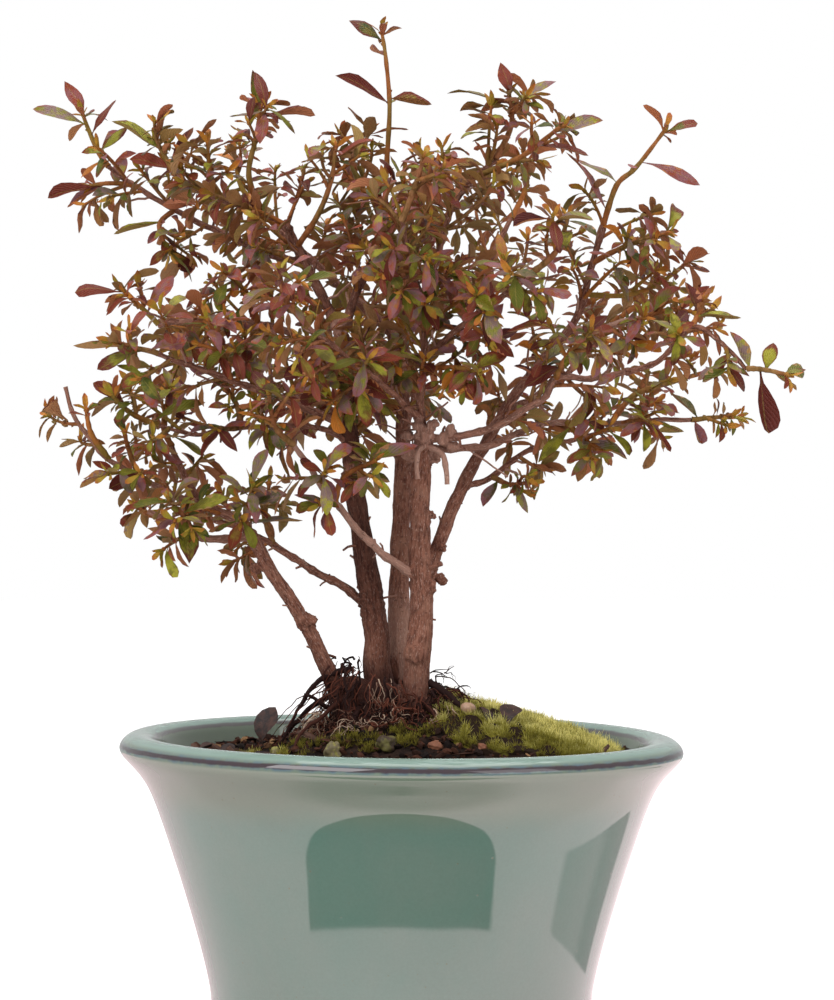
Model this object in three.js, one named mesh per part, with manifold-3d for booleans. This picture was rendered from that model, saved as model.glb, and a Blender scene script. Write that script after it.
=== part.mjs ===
// Satsuki azalea bonsai: a clump of five stems on one root crown, in a round, flared, glazed pot.
// Millimetres, +Z up. The origin is on the pot's axis, at the underside of its foot ring.
import * as THREE from "three";
import { mergeVertices } from "three/addons/utils/BufferGeometryUtils.js";
import Module from "manifold-3d";

const wasm = await Module();
wasm.setup();

// Driving dimensions
const GAP = 0.3; // clearance between pieces that touch
const FINEST_EDGE = 0.05;
const SAME_POINT = 1e-3;
const POT_SIDES = 30;
const LIP_RADIUS = 101.6;
const LIP_TOP = 113.9;
const FLOOR_TOP = 12;
const FLOOR_UNDERSIDE = 6;
const FOOT_OUTER = 69.4;
const FOOT_INNER = 62;
const DRAIN_RADIUS = 9;
const SOIL_EDGE = 106; // height of the soil at the pot's wall
const SOIL_RISE = 22.5; // the mound's height over its edge
const SOIL_PEAK_X = 4;
const MOSS_CENTRE = [41, -8];
const MOSS_HALF = [35, 38];
const MOSS_THICK = 3.6;
const BLADE_THICK = 0.95;
const LEAF_LENGTH = 16;
const TWIG_RADIUS = 1.15;
const TWIG_END = 0.85;

// The crown's points are given as on a front elevation: x across, z up, and the depth behind it.
// They are carried out along the line of sight from this eye, so that the elevation stays true.
const EYE = { x: 5.6, distance: 1100, z: 198.7 };

function front([x, z, depth]) {
  const spread = 1 + depth / EYE.distance;
  return new THREE.Vector3(EYE.x + (x - EYE.x) * spread, depth, EYE.z + (z - EYE.z) * spread);
}

// Repeatable draws between 0 and 1
function seeded(seed) {
  let state = seed;
  return () => {
    state = (Math.imul(state, 1664525) + 1013904223) >>> 0;
    return state / 4294967296;
  };
}

// ---- Solids ----

function toSolid(geometry) {
  const bare = geometry.clone();
  bare.deleteAttribute("normal");
  bare.deleteAttribute("uv");
  const merged = mergeVertices(bare, SAME_POINT);
  return new wasm.Manifold(new wasm.Mesh({
    numProp: 3,
    vertProperties: new Float32Array(merged.attributes.position.array),
    triVerts: new Uint32Array(merged.index.array),
  }));
}

// The largest body of a solid, without the scraps and the tiny edges that a cut leaves
function mainBody(solid) {
  const bodies = toSolid(toGeometry(solid.simplify(FINEST_EDGE))).decompose();
  return bodies.reduce((best, body) => (body.volume() > best.volume() ? body : best));
}

function toGeometry(solid) {
  const mesh = solid.getMesh();
  const geometry = new THREE.BufferGeometry();
  geometry.setAttribute("position", new THREE.BufferAttribute(mesh.vertProperties, 3));
  geometry.setIndex(new THREE.BufferAttribute(mesh.triVerts, 1));
  geometry.computeVertexNormals();
  return geometry;
}

function faceted(points, faces) {
  const geometry = new THREE.BufferGeometry().setFromPoints(points);
  geometry.setIndex(faces.flat());
  return geometry;
}

function union(solids) {
  return solids.reduce((whole, solid) => whole.add(solid));
}

// Two directions square to a line, so that across x over = along
function squareTo(along) {
  const helper = Math.abs(along.z) > 0.95 ? new THREE.Vector3(1, 0, 0) : new THREE.Vector3(0, 0, 1);
  const across = along.clone().cross(helper).normalize();
  return [across, along.clone().cross(across)];
}

// A round limb along a chain of points, tapering from one radius to the other
function limb(points, startRadius, endRadius, sides, swell = 0) {
  const last = points.length - 1;
  const vertices = [];
  let [across] = squareTo(points[1].clone().sub(points[0]).normalize());
  points.forEach((point, i) => {
    const before = points[Math.max(i - 1, 0)];
    const after = points[Math.min(i + 1, last)];
    const along = after.clone().sub(before).normalize();
    across = across.clone().addScaledVector(along, -across.dot(along)).normalize();
    const over = along.clone().cross(across);
    const taper = THREE.MathUtils.lerp(startRadius, endRadius, i / last);
    const radius = taper * (1 + swell * Math.sin(2.3 * i + points[0].x));
    for (let side = 0; side < sides; side++) {
      const turn = (2 * Math.PI * side) / sides;
      vertices.push(point.clone()
        .addScaledVector(across, radius * Math.cos(turn))
        .addScaledVector(over, radius * Math.sin(turn)));
    }
  });
  const faces = [];
  for (let i = 0; i < last; i++) {
    for (let side = 0; side < sides; side++) {
      const next = (side + 1) % sides;
      const [a, b] = [i * sides + side, i * sides + next];
      faces.push([a, b, b + sides], [a, b + sides, a + sides]);
    }
  }
  for (let side = 1; side < sides - 1; side++) {
    faces.push([0, side + 1, side], [last * sides, last * sides + side, last * sides + side + 1]);
  }
  return toSolid(faceted(vertices, faces));
}

// ---- Pot: one fired piece with a rolled-out lip, a foot ring and a drain hole ----

const POT_OUTER = [
  [FOOT_OUTER, 0], [70.4, 4], [68.8, 14], [73.8, 41], [83.1, 74.3], [91.8, 96.5], [100.6, 107.6],
];
const POT_LIP = [[LIP_RADIUS, 110.2], [95.5, LIP_TOP], [88.6, 111.4]];
const POT_INNER = [[77.8, 74.3], [68.6, 41], [64, 16.5], [58, FLOOR_TOP]];

function pot() {
  const profile = [
    ...POT_OUTER, ...POT_LIP, ...POT_INNER,
    [DRAIN_RADIUS, FLOOR_TOP], [DRAIN_RADIUS, FLOOR_UNDERSIDE], [60, FLOOR_UNDERSIDE], [FOOT_INNER, 0],
  ];
  const outline = [...profile, profile[0]].map(([r, z]) => new THREE.Vector2(r, z));
  return toSolid(new THREE.LatheGeometry(outline, POT_SIDES).rotateX(Math.PI / 2));
}

// ---- Drainage mesh, and the bent wire that clips it over the hole ----

const MESH_RADIUS = 13;
const MESH_THICK = 0.8;
const MESH_HOLE = 2.6;
const MESH_PITCH = 4.2;
const CLIP_RADIUS = 0.7;
const CLIP_LEG_X = MESH_PITCH;
const CLIP_BAR_Z = FLOOR_TOP + GAP + MESH_THICK + GAP + CLIP_RADIUS;
const CLIP_FOOT_Z = FLOOR_UNDERSIDE - GAP - CLIP_RADIUS;

function drainageMesh() {
  const middle = FLOOR_TOP + GAP + MESH_THICK / 2;
  let disc = toSolid(new THREE.CylinderGeometry(MESH_RADIUS, MESH_RADIUS, MESH_THICK, 16)
    .rotateX(Math.PI / 2).translate(0, 0, middle));
  for (const [column, row] of [[0, 0], [1, 0], [0, 1], [-1, 0], [0, -1]]) {
    const hole = new THREE.BoxGeometry(MESH_HOLE, MESH_HOLE, 3);
    disc = disc.subtract(toSolid(hole.translate(column * MESH_PITCH, row * MESH_PITCH, middle)));
  }
  return disc;
}

function meshClip() {
  const half = [[0, CLIP_BAR_Z], [CLIP_LEG_X - 0.8, CLIP_BAR_Z], [CLIP_LEG_X, CLIP_BAR_Z - 0.8],
    [CLIP_LEG_X, CLIP_FOOT_Z + 0.8], [CLIP_LEG_X + 0.8, CLIP_FOOT_Z], [DRAIN_RADIUS + 5, CLIP_FOOT_Z]];
  const mirrored = half.slice(1).reverse().map(([x, z]) => [-x, z]);
  const path = [...mirrored, ...half].map(([x, z]) => new THREE.Vector3(x, 0, z));
  return limb(path, CLIP_RADIUS, CLIP_RADIUS, 4);
}

// ---- Soil: fills the pot and rises to a mound under the stems ----

function soilHeight(x, y) {
  const across = x - SOIL_PEAK_X;
  const away = Math.hypot(across, y);
  const slope = 0.3375 - (away > 0 ? 0.0375 * across / away : 0);
  const mound = Math.max(0, SOIL_RISE - slope * away);
  const lumps = 0.7 * Math.sin(x * 0.31 + 1) * Math.cos(y * 0.27) + 0.4 * Math.sin(x * 0.13 - y * 0.17);
  return SOIL_EDGE + mound + lumps;
}

// Sets the height of each of a lathe's top points by a rule, and leaves the rest
function raiseTop(geometry, isTop, height) {
  const place = geometry.attributes.position;
  for (let i = 0; i < place.count; i++) {
    if (isTop(place.getZ(i))) {
      place.setZ(i, height(place.getX(i), place.getY(i)));
    }
  }
  return geometry;
}

const SOIL_TOP_MARK = 200;
const SOIL_RINGS = [86, 60, 38, 19];

function soilBody() {
  const inner = [...POT_INNER].reverse().map(([r, z]) => [r - GAP, z + GAP]);
  const recess = CLIP_BAR_Z + CLIP_RADIUS + GAP;
  const outline = [
    [0, recess], [MESH_RADIUS + 1, recess], [MESH_RADIUS + 1, FLOOR_TOP + GAP],
    ...inner, ...SOIL_RINGS.map((r) => [r, SOIL_TOP_MARK]), [0, SOIL_TOP_MARK],
  ].map(([r, z]) => new THREE.Vector2(r, z));
  const lathe = new THREE.LatheGeometry(outline, POT_SIDES).rotateX(Math.PI / 2);
  return toSolid(raiseTop(lathe, (z) => z === SOIL_TOP_MARK, soilHeight));
}

// ---- Wood: stems, branches, knobs, cut stubs, root crown and exposed roots, grown as one ----

// Each limb: start and end radius, sides, and its points [x, z, depth]
const LIMBS = {
  stem_left: [3.1, 2.3, 6, [[-21, 116, -6], [-24.5, 131, -5], [-28, 140, -6], [-32.5, 150, -7],
    [-38.5, 160, -9], [-45.5, 170, -11], [-51, 180, -13], [-55, 187, -15]]],
  left_stub: [1.6, 1, 4, [[-54, 186, -15], [-65, 184.5, -20], [-73, 186, -24], [-80, 189, -27], [-92, 195, -31]]],
  left_riser: [1.8, 1, 4, [[-54, 186, -15], [-60, 192, -14], [-73, 198, -9], [-80, 211, -3], [-83, 218, 0]]],
  left_bare: [1.2, 0.7, 4, [[-73, 198, -9], [-80, 200, -12], [-91, 205, -16], [-105, 213, -20],
    [-112, 220, -22], [-118, 229, -24], [-121.5, 240, -25]]],
  stem_back_left: [5.4, 2.7, 7, [[-5, 118, 2], [-9, 138, 2], [-9, 150, 2.5], [-11, 165, 3], [-13.5, 180, 4],
    [-16.5, 200, 5], [-18.5, 220, 6], [-20, 240, 7], [-22, 262, 8]]],
  fork_left: [2.3, 1.4, 5, [[-21.5, 258, 8], [-30, 275, 10], [-38, 290, 13], [-42, 300, 16]]],
  fork_right: [2, 1.2, 5, [[-21.5, 258, 8], [-15, 277, 14], [-8, 290, 20], [-6, 305, 24]]],
  side_left: [1.7, 1, 4, [[-11, 159, 3], [-20, 166, 6], [-30, 171.5, 10], [-46, 182, 16], [-58, 188, 24],
    [-70, 192, 34]]],
  stem_back: [4.3, 2.4, 7, [[1, 118, 13], [-1, 143, 14.5], [-0.5, 180, 17], [0, 200, 19], [0.5, 215, 21],
    [0, 240, 26], [-3, 262, 32]]],
  stem_front: [5.4, 3.4, 7, [[2, 114, -10], [4.8, 128, -11], [5.5, 140, -11], [7.2, 160, -11],
    [6.7, 180, -11], [6.8, 200, -11], [8, 221, -11]]],
  leader: [1.7, 1, 4, [[8, 218, -11], [7, 230, -12], [7.5, 240, -13], [8, 255, -14], [9, 275, -15]]],
  stem_right: [2.9, 1.3, 5, [[7, 168, -10], [11, 176, -7], [18, 195, -1], [26, 212, 5], [30, 218, 8],
    [38, 232, 14], [50, 248, 20], [62, 262, 24], [68, 280, 28], [73, 298, 30]]],
  cross_twig: [1.6, 0.9, 4, [[5, 171, -12], [-5, 178, -17], [-12, 184, -20], [-20, 193, -23], [-28, 203, -28],
    [-39, 219, -37]]],
  right_one: [1.5, 1, 4, [[9, 221, -12], [20, 222, -15], [35, 226, -21], [50, 235, -28], [56, 243, -31],
    [70, 243, -24], [82, 245, -22]]],
  right_two: [1.4, 0.8, 4, [[9, 217, -10], [28, 218, -8], [43, 223, -5], [55, 227, -5], [70, 226.5, -8],
    [85, 227, -12], [105, 228, -18]]],
  right_three: [1.2, 0.7, 4, [[21, 203, 1], [33, 207, 6], [45, 216, 12], [60, 220, 20], [76, 224, 30]]],
  far_right: [1.1, 0.7, 4, [[81, 245, -22], [90, 248, -25], [96, 252, -29], [105, 261.5, -33],
    [114, 257, -37], [125, 246.5, -41]]],
  pale_stub: [1.4, 1, 4, [[61, 260, 24], [70, 260, 20], [80, 263, 15], [88, 265, 12]]],
  crown_left: [1.4, 0.9, 4, [[-40, 296, 14], [-52, 303, 22], [-70, 309, 32], [-82, 316, 38]]],
  crown_far_left: [1.4, 0.9, 4, [[-35, 284, 12], [-50, 288.5, 24], [-60, 293, 34], [-78, 301, 48],
    [-97, 312, 56], [-106, 319, 58]]],
  back_left: [1.8, 0.9, 4, [[-2, 258, 31], [-25, 278, 48], [-40, 292, 62], [-50, 302, 72]]],
  back_right: [1.7, 0.9, 4, [[-2, 258, 31], [12, 266, 42], [28, 280, 56], [40, 300, 66]]],
  back_middle: [1.5, 0.8, 4, [[0, 222, 22], [5, 236, 44], [2, 250, 64], [0, 262, 80]]],
  back_low_left: [1.4, 0.8, 4, [[0, 214, 21], [-20, 228, 38], [-45, 240, 54], [-64, 250, 66]]],
  back_low_right: [1.4, 0.8, 4, [[36, 230, 13], [52, 238, 34], [66, 250, 52], [76, 262, 64]]],
  front_left: [1.3, 0.8, 4, [[7, 228, -12], [-6, 240, -28], [-22, 252, -46], [-34, 262, -60]]],
  front_right: [1.2, 0.8, 4, [[8, 250, -14], [22, 262, -30], [36, 272, -46], [48, 282, -58]]],
  front_top: [1.1, 0.7, 4, [[8.5, 262, -14], [6, 276, -30], [2, 288, -46], [0, 300, -56]]],
  left_front: [1.6, 0.8, 4, [[-18.5, 225, 6], [-35, 232, -10], [-55, 240, -24], [-75, 247, -34],
    [-88, 252, -40]]],
  left_middle: [1.5, 0.9, 4, [[-20, 245, 7], [-35, 256, 12], [-50, 262, 18], [-72, 263.5, 26], [-88, 262, 30]]],
  left_dark: [1.1, 0.6, 4, [[-18, 218, 6], [-30, 225, 0], [-55, 225, -8], [-75, 223, -12], [-88, 226, -16]]],
  top_right: [1.2, 0.8, 4, [[9, 272, -15], [14, 292, -12], [20, 308, -6], [34, 322, 0]]],
  burl_stub: [1.1, 0.9, 4, [[9, 218, -13], [15, 215, -17], [16, 205, -18]]],
  low_stub: [1, 0.8, 4, [[8, 218, -13], [6, 216, -17.5], [6, 206, -18]]],
  orange_stub: [1, 0.8, 4, [[8, 173, -13], [14.5, 176, -16]]],
};

// Roots over the mound: radius, and points [x, z, depth] that end in the soil
const ROOTS = [
  [1.1, [[-18, 138, -6], [-30, 133, -9], [-38, 122, -14], [-46, 106, -18]]],
  [0.9, [[-16, 132, -9], [-27, 122, -16], [-36, 115, -24], [-42, 104, -30]]],
  [1.3, [[-8, 130, -8], [-16, 122, -18], [-19, 113, -26], [-22, 104, -34]]],
  [0.8, [[-10, 134, -8], [-13, 122, -20], [-12, 113, -26], [-14, 104, -34]]],
  [1, [[-2, 130, -10], [-5, 120, -21], [-3, 112, -28], [-2, 104, -36]]],
  [1.4, [[10, 133, -12], [18, 127, -15], [26, 119, -20], [32, 110, -24]]],
  [1, [[6, 128, -14], [12, 121, -22], [17, 113, -28], [20, 104, -36]]],
  [1.2, [[8, 130, 0], [22, 125, 4], [34, 117, 8], [44, 108, 10]]],
  [1.2, [[-22, 130, -2], [-32, 124, 4], [-42, 114, 8], [-52, 102, 12]]],
  [1.1, [[-8, 130, 14], [-18, 124, 22], [-26, 115, 30], [-34, 103, 38]]],
  [1.2, [[2, 132, 18], [6, 124, 28], [10, 115, 36], [14, 104, 46]]],
  [0.9, [[-20, 128, -7], [-26, 124, -13], [-33, 128, -15], [-35, 127.5, -16]]],
];

// Knobs, burls and cut ends: x, z, depth, radius
const KNOBS = [
  [8, 222, -14, 3.2], [15, 221, -13, 2.6], [3, 216, -13, 2.8], [12, 215, -10, 2.8], [10, 168, -13, 2.3],
  [-22, 262, 8, 2.9], [-53, 174, -12, 2.1], [-33, 155, -8, 2.6],
  [-12, 162, 1, 3.6], [-19, 206, 3, 2.8], [11, 193, -8, 2.3], [5, 143, -13, 4.4],
];

// The root crown that the stems stand on: centre [x, z, depth], and half sizes in x, y and z
const CROWN_LUMPS = [
  { centre: [-6, 120, 0], half: [17, 13, 13], detail: 1 },
  { centre: [-17, 124, -5], half: [9, 8, 11], detail: 0 },
  { centre: [4, 122, -8], half: [10, 9, 10], detail: 0 },
];
const ROOT_END = 0.6;
const ROOT_SIDES = 4;
const SWELLING_RADIUS = 2; // limbs thicker than this swell and narrow along their length
const STEM_SWELL = 0.06;

function placed(ball, centre, [halfX, halfY, halfZ]) {
  return toSolid(ball.scale(halfX, halfY, halfZ).translate(centre.x, centre.y, centre.z));
}

// The chain of points with both its ends carried on by a length
function lengthened(points, length) {
  const last = points.length - 1;
  const carryOn = (end, inner) => end.clone().addScaledVector(end.clone().sub(inner).normalize(), length);
  return [carryOn(points[0], points[1]), ...points.slice(1, last), carryOn(points[last], points[last - 1])];
}

// extra fattens every limb, which gives the space that the wood needs in its neighbours
function wood(extra) {
  const solids = CROWN_LUMPS.map(({ centre, half, detail }) => placed(
    new THREE.IcosahedronGeometry(1, detail), front(centre), half.map((size) => size + extra)));
  for (const [start, end, sides, points] of Object.values(LIMBS)) {
    const fatter = extra / Math.cos(Math.PI / sides);
    const swell = start > SWELLING_RADIUS ? STEM_SWELL : 0;
    solids.push(limb(lengthened(points.map(front), extra), start + fatter, end + fatter, sides, swell));
  }
  for (const [radius, points] of ROOTS) {
    const fatter = extra / Math.cos(Math.PI / ROOT_SIDES);
    solids.push(limb(lengthened(points.map(front), extra), radius + fatter, ROOT_END + fatter, ROOT_SIDES));
  }
  for (const [x, z, depth, radius] of KNOBS) {
    const size = radius + extra * 1.5;
    solids.push(placed(new THREE.OctahedronGeometry(1.15), front([x, z, depth]), [size, size, size]));
  }
  return mainBody(union(solids));
}

// ---- Leafy branchlets: twig, side twigs and leaves of each, grown as one ----

// Each branchlet: warmth of its leaves from green 0 to bronze 1, its twig's points [x, z, depth] from the
// limb that carries it, side twigs, leaves in each end whorl, leaves along the twig, and single leaves
// as [base x, base z, tip x, tip z, width, depth of the tip over that of the base]
const BRANCHLETS = {
  low_left_twig: [0.4, [[-91, 205, -16], [-95, 211, -22], [-100, 222, -26]], 1, 4, 2,
    [[-93, 208, -106, 203, 6, -3]]],
  low_left_rosette: [0.5, [[-106, 213.5, -20], [-112, 222, -26], [-114, 231, -29]], 0, 2, 0, []],
  low_left_hanging: [0.3, [[-81, 189.5, -27], [-78, 193, -34], [-84, 199, -40]], 0, 4, 1,
    [[-78, 192, -76, 176, 8, -4], [-80, 194, -93, 184, 6, -3], [-79, 194, -62, 199, 6.5, -6]]],
  low_left_elbow: [0.2, [[-55, 187, -15], [-56, 193, -22], [-54, 203, -30]], 0, 3, 1,
    [[-56, 190, -36, 191, 7.5, -8], [-56, 196, -42, 201, 7, -4], [-55, 200, -66, 208, 6, -4]]],
  left_curled: [0.6, [[-83, 218, 0], [-86, 227, 3], [-83, 238, 6]], 1, 4, 2, [[-85, 222, -71, 215, 7, 3]]],
  left_dark_end: [0.5, [[-88, 226, -16], [-97, 231, -20], [-104, 236, -22]], 0, 4, 1,
    [[-90, 227, -71, 234, 6, -4], [-100, 233, -112, 241, 6, 2]]],
  left_dark_middle: [0.4, [[-58, 225, -8.5], [-60, 234, -16], [-66, 243, -14]], 1, 4, 2, []],
  side_end: [0.4, [[-70, 192, 34], [-80, 197, 40], [-88, 205, 44]], 1, 4, 2, []],
  side_middle: [0.3, [[-46, 182, 16], [-50, 192, 24], [-48, 204, 32]], 1, 4, 1, []],
  cross_end: [0.4, [[-39, 219, -37], [-45, 226, -44], [-48, 237, -50]], 1, 4, 1, [[-42, 222, -29, 229, 7, -4]]],
  cross_middle: [0.3, [[-24, 198, -25.5], [-20, 207, -32], [-10, 213, -40]], 0, 4, 0,
    [[-18, 209, -4, 206, 5, -2], [-12, 212, 6, 219, 6, -3]]],
  left_middle_end: [0.7, [[-88, 262, 30], [-95, 268, 32], [-101, 275, 34]], 0, 4, 1,
    [[-100, 273, -118, 274, 6.5, 2], [-92, 266, -83, 280, 7, 3]]],
  left_front_end: [0.6, [[-88, 252, -40], [-96, 253, -43], [-103, 256, -45]], 0, 4, 0,
    [[-98, 254, -119, 254.5, 6.5, 0], [-94, 253, -110, 246, 7, -3], [-92, 252, -78, 256, 7, -5]]],
  left_front_middle: [0.5, [[-62, 242.5, -27.5], [-66, 252, -38], [-70, 264, -44]], 1, 4, 1, []],
  left_middle_rise: [0.6, [[-52, 262.3, 18.5], [-56, 272, 10], [-64, 281, 2]], 1, 4, 2, []],
  left_middle_back: [0.4, [[-70, 263.3, 25.5], [-78, 252, 38], [-84, 243, 46]], 1, 4, 1, []],
  top_far_left: [0.7, [[-106, 319, 58], [-110, 326, 59], [-115, 337, 60]], 0, 2, 1,
    [[-114, 334, -133.5, 339.5, 6, 0], [-115, 337, -121, 350, 5.5, 2], [-112, 331, -103, 343, 6, 2],
      [-109, 324, -99, 333, 6.5, -4]]],
  top_far_left_low: [0.8, [[-97, 312, 56], [-104, 312, 60], [-112, 312, 63]], 0, 2, 0,
    [[-110, 312, -128, 307, 6, 1], [-103, 312, -101, 323, 8, 4], [-108, 312, -121, 304, 6.5, 3]]],
  top_left_under: [0.4, [[-82, 303.3, 49.5], [-87, 298, 46], [-84, 288, 44]], 1, 4, 0,
    [[-86, 299, -104, 294, 4.5, -2]]],
  top_left_tip: [0.5, [[-82, 316, 38], [-85, 321, 39], [-89, 329, 40]], 0, 3, 0,
    [[-84, 319, -75, 333, 7, -3], [-87, 325, -104, 336, 6.5, 3], [-83, 318, -98, 322, 6.5, 5]]],
  top_left_middle: [0.4, [[-66, 307.5, 29.5], [-68, 316, 24], [-70, 327, 21]], 1, 4, 0,
    [[-67, 314, -81, 322, 7.5, -5]]],
  top_shoot_left: [0.6, [[-50, 302, 20.5], [-55, 316, 17], [-52, 331, 14], [-51, 340, 13]], 1, 4, 1,
    [[-51, 338, -31, 338, 6, -3], [-51, 339, -55, 354, 5, 1]]],
  top_shoot_fork: [0.4, [[-38, 290, 13], [-31, 301, 6], [-26, 314, 2], [-24, 326, 1]], 1, 4, 2,
    [[-25, 322, -10, 329, 6, -3]]],
  top_shoot_tall: [0.6, [[-6, 305, 24], [-5, 322, 20], [-4, 340, 17], [-5.5, 358, 14], [-7, 367, 13]], 0, 2, 2,
    [[-6.5, 364, -19, 372, 6.5, 0], [-4, 342, -24, 352, 6, -4], [-4, 344, 11, 341.5, 6.5, 3]]],
  top_shoot_neighbour: [0.5, [[-7.5, 295, 21.5], [-13, 307, 32], [-14, 320, 40], [-12, 332, 44]], 1, 4, 1, []],
  top_right_shoot: [0.5, [[34, 322, 0], [39, 334, 3], [39, 345, 4]], 1, 3, 1,
    [[39, 343, 16.5, 346, 5, 2], [39, 342, 56, 350, 5, -2], [39, 345, 36, 357, 5.5, -2]]],
  top_right_outer: [0.6, [[27, 315.5, -3], [44, 322, -12], [58, 334, -18]], 1, 4, 0,
    [[56, 332, 73, 336, 6, 2], [50, 327, 68, 324, 6, -4]]],
  top_middle: [0.6, [[0, 300, -56], [4, 311, -60], [8, 323, -60]], 1, 4, 1, []],
  top_leader: [0.5, [[14, 292, -12], [9, 303, -22], [10, 318, -28]], 1, 4, 2, []],
  upper_right_tip: [0.8, [[73, 298, 30], [78, 313, 26], [85, 319.5, 24], [95, 332, 21]], 0, 2, 1,
    [[94, 330, 107, 335, 5, 0], [86, 320, 108, 312, 5.5, 3], [78, 313, 62, 322, 6, 3],
      [74, 302, 60, 325, 8.5, -6]]],
  upper_right_middle: [0.6, [[69, 284, 28.5], [80, 289, 22], [96, 295, 16]], 1, 4, 1,
    [[80, 289, 92, 281, 6, -4]]],
  upper_right_low: [0.7, [[66, 273, 26.5], [80, 273, 34], [92, 277, 40], [104, 285, 42]], 1, 4, 1, []],
  stub_end: [0.6, [[88, 265, 12], [96, 268, 8], [104, 267, 2]], 1, 4, 1, [[90, 266, 101, 276, 7, -2]]],
  far_right_end: [0.3, [[125, 246.5, -41], [131, 245.5, -43], [139, 244.5, -45]], 0, 1, 0,
    [[130, 245.6, 131.5, 223, 9.5, -2], [126, 246.3, 119, 260, 6, 3], [132, 245.4, 134, 256, 5.5, 3],
      [138, 244.6, 146.5, 246, 4.5, 0], [135, 245, 143, 239, 4.5, 2]]],
  far_right_middle: [0.4, [[105, 261.5, -33], [107, 266, -30], [109, 271, -27]], 0, 3, 0,
    [[107, 265, 123, 265, 6, -3], [107, 267, 103, 278, 6, 2], [106, 264, 95, 258, 6, 4]]],
  right_two_end: [0.2, [[105, 228, -18], [112, 229.5, -20], [119, 229.5, -21]], 0, 4, 1,
    [[107, 228.5, 98, 238, 6, 3], [106, 228.2, 108, 219, 5.5, -3]]],
  right_two_rise: [0.5, [[76, 226.8, -9.5], [84, 236, -2], [98, 241, 4], [114, 246, 8]], 1, 4, 0,
    [[84, 236, 97, 231, 6, -3], [112, 245, 119, 251, 6, -2]]],
  right_two_hanging: [0.3, [[60, 226.8, -6], [64, 221, -12], [72, 217, -16]], 0, 3, 0,
    [[62, 224, 69, 210, 7, 2], [66, 220, 82, 214, 7, -2], [61, 225, 50, 212, 5, -4]]],
  right_three_end: [0.4, [[76, 224, 30], [84, 228, 36], [90, 236, 40]], 1, 4, 1, []],
  right_three_hanging: [0.3, [[33, 207, 6], [38, 204, 0], [46, 205, -4]], 0, 3, 0,
    [[35, 206, 30, 196, 5.5, -2], [40, 204.3, 46, 194, 5, -2]]],
  right_one_end: [0.5, [[56, 243, -31], [60, 251, -40], [68, 260, -46]], 1, 4, 1,
    [[58, 247, 44, 240, 6.5, -6]]],
  leader_right: [0.5, [[7.7, 246, -13.5], [18, 247, -28], [28, 245, -40]], 1, 4, 0,
    [[16, 247, 27, 234, 7, -6]]],
  front_left_end: [0.5, [[-34, 262, -60], [-42, 271, -66], [-44, 281, -70]], 1, 5, 1, []],
  front_right_end: [0.5, [[48, 282, -58], [56, 290, -63], [60, 301, -64]], 1, 5, 1, []],
  back_left_end: [0.4, [[-50, 302, 72], [-58, 311, 78], [-60, 322, 82]], 1, 5, 2, []],
  back_right_end: [0.4, [[40, 300, 66], [46, 312, 73], [44, 324, 76]], 1, 5, 2, []],
  back_middle_end: [0.4, [[0, 262, 80], [-2, 274, 86], [-6, 287, 88]], 1, 5, 2, []],
  back_low_left_end: [0.4, [[-64, 250, 66], [-74, 255, 72], [-80, 264, 76]], 1, 5, 2, []],
  back_low_right_end: [0.4, [[76, 262, 64], [86, 269, 70], [92, 280, 72]], 1, 5, 2, []],
};

// Branchlets whose leaves stayed small, as a share of the usual length
const SMALL_LEAVED = {
  low_left_twig: 0.75, low_left_rosette: 0.7, left_dark_middle: 0.8, side_end: 0.8, side_middle: 0.8, cross_end: 0.8,
  left_middle_back: 0.8, far_right_middle: 0.7, right_two_end: 0.6, right_two_rise: 0.75, right_three_end: 0.8,
  right_three_hanging: 0.7,
};

// A blade on a bent midrib, pointed at both ends and widest past its middle. Its upper face is flat across,
// and its underside is keeled along the midrib.
const BLADE_STATIONS = [[0.34, 0.68], [0.7, 1]];

function bladeFrame(leaf, s) {
  const bend = leaf.curl * s;
  const reach = leaf.length / leaf.curl;
  const along = leaf.along.clone().multiplyScalar(Math.cos(bend)).addScaledVector(leaf.up, -Math.sin(bend));
  const up = leaf.up.clone().multiplyScalar(Math.cos(bend)).addScaledVector(leaf.along, Math.sin(bend));
  const centre = leaf.base.clone()
    .addScaledVector(leaf.along, reach * Math.sin(bend))
    .addScaledVector(leaf.up, -reach * (1 - Math.cos(bend)));
  return { centre, along, up, right: along.clone().cross(up) };
}

function blade(leaf) {
  const points = [leaf.base];
  for (const [s, share] of BLADE_STATIONS) {
    const { centre, up, right } = bladeFrame(leaf, s);
    const half = share * leaf.width / 2;
    points.push(centre.clone().addScaledVector(right, -half), centre.clone().addScaledVector(right, half));
    points.push(centre.clone().addScaledVector(up, -BLADE_THICK));
  }
  points.push(bladeFrame(leaf, 1).centre);
  const [base, leftA, rightA, keelA, leftB, rightB, keelB, tip] = points.keys();
  return toSolid(faceted(points, [
    [base, rightA, leftA], [leftA, rightA, rightB], [leftA, rightB, leftB], [leftB, rightB, tip],
    [base, leftA, keelA], [leftA, leftB, keelB], [leftA, keelB, keelA], [leftB, tip, keelB],
    [base, keelA, rightA], [keelA, keelB, rightB], [keelA, rightB, rightA], [keelB, tip, rightB],
  ]));
}

// What the leaves of one branchlet must keep clear of: the limbs and twigs of the others, as rods, and
// points spread over their leaves
const rods = [];
const leafSpots = [];
const SPOT_STATIONS = [0.3, 0.5, 0.7, 0.85, 1];
const SPOT_CLEARANCE = 3.4;
const OWN_CLEARANCE = 2.4;
const ROD_CLEARANCE = 2.5;

function addRods(points, startRadius, endRadius, owner) {
  for (let i = 0; i < points.length - 1; i++) {
    const radius = THREE.MathUtils.lerp(startRadius, endRadius, i / (points.length - 1));
    rods.push({ start: points[i], end: points[i + 1], radius, owner });
  }
}

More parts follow.
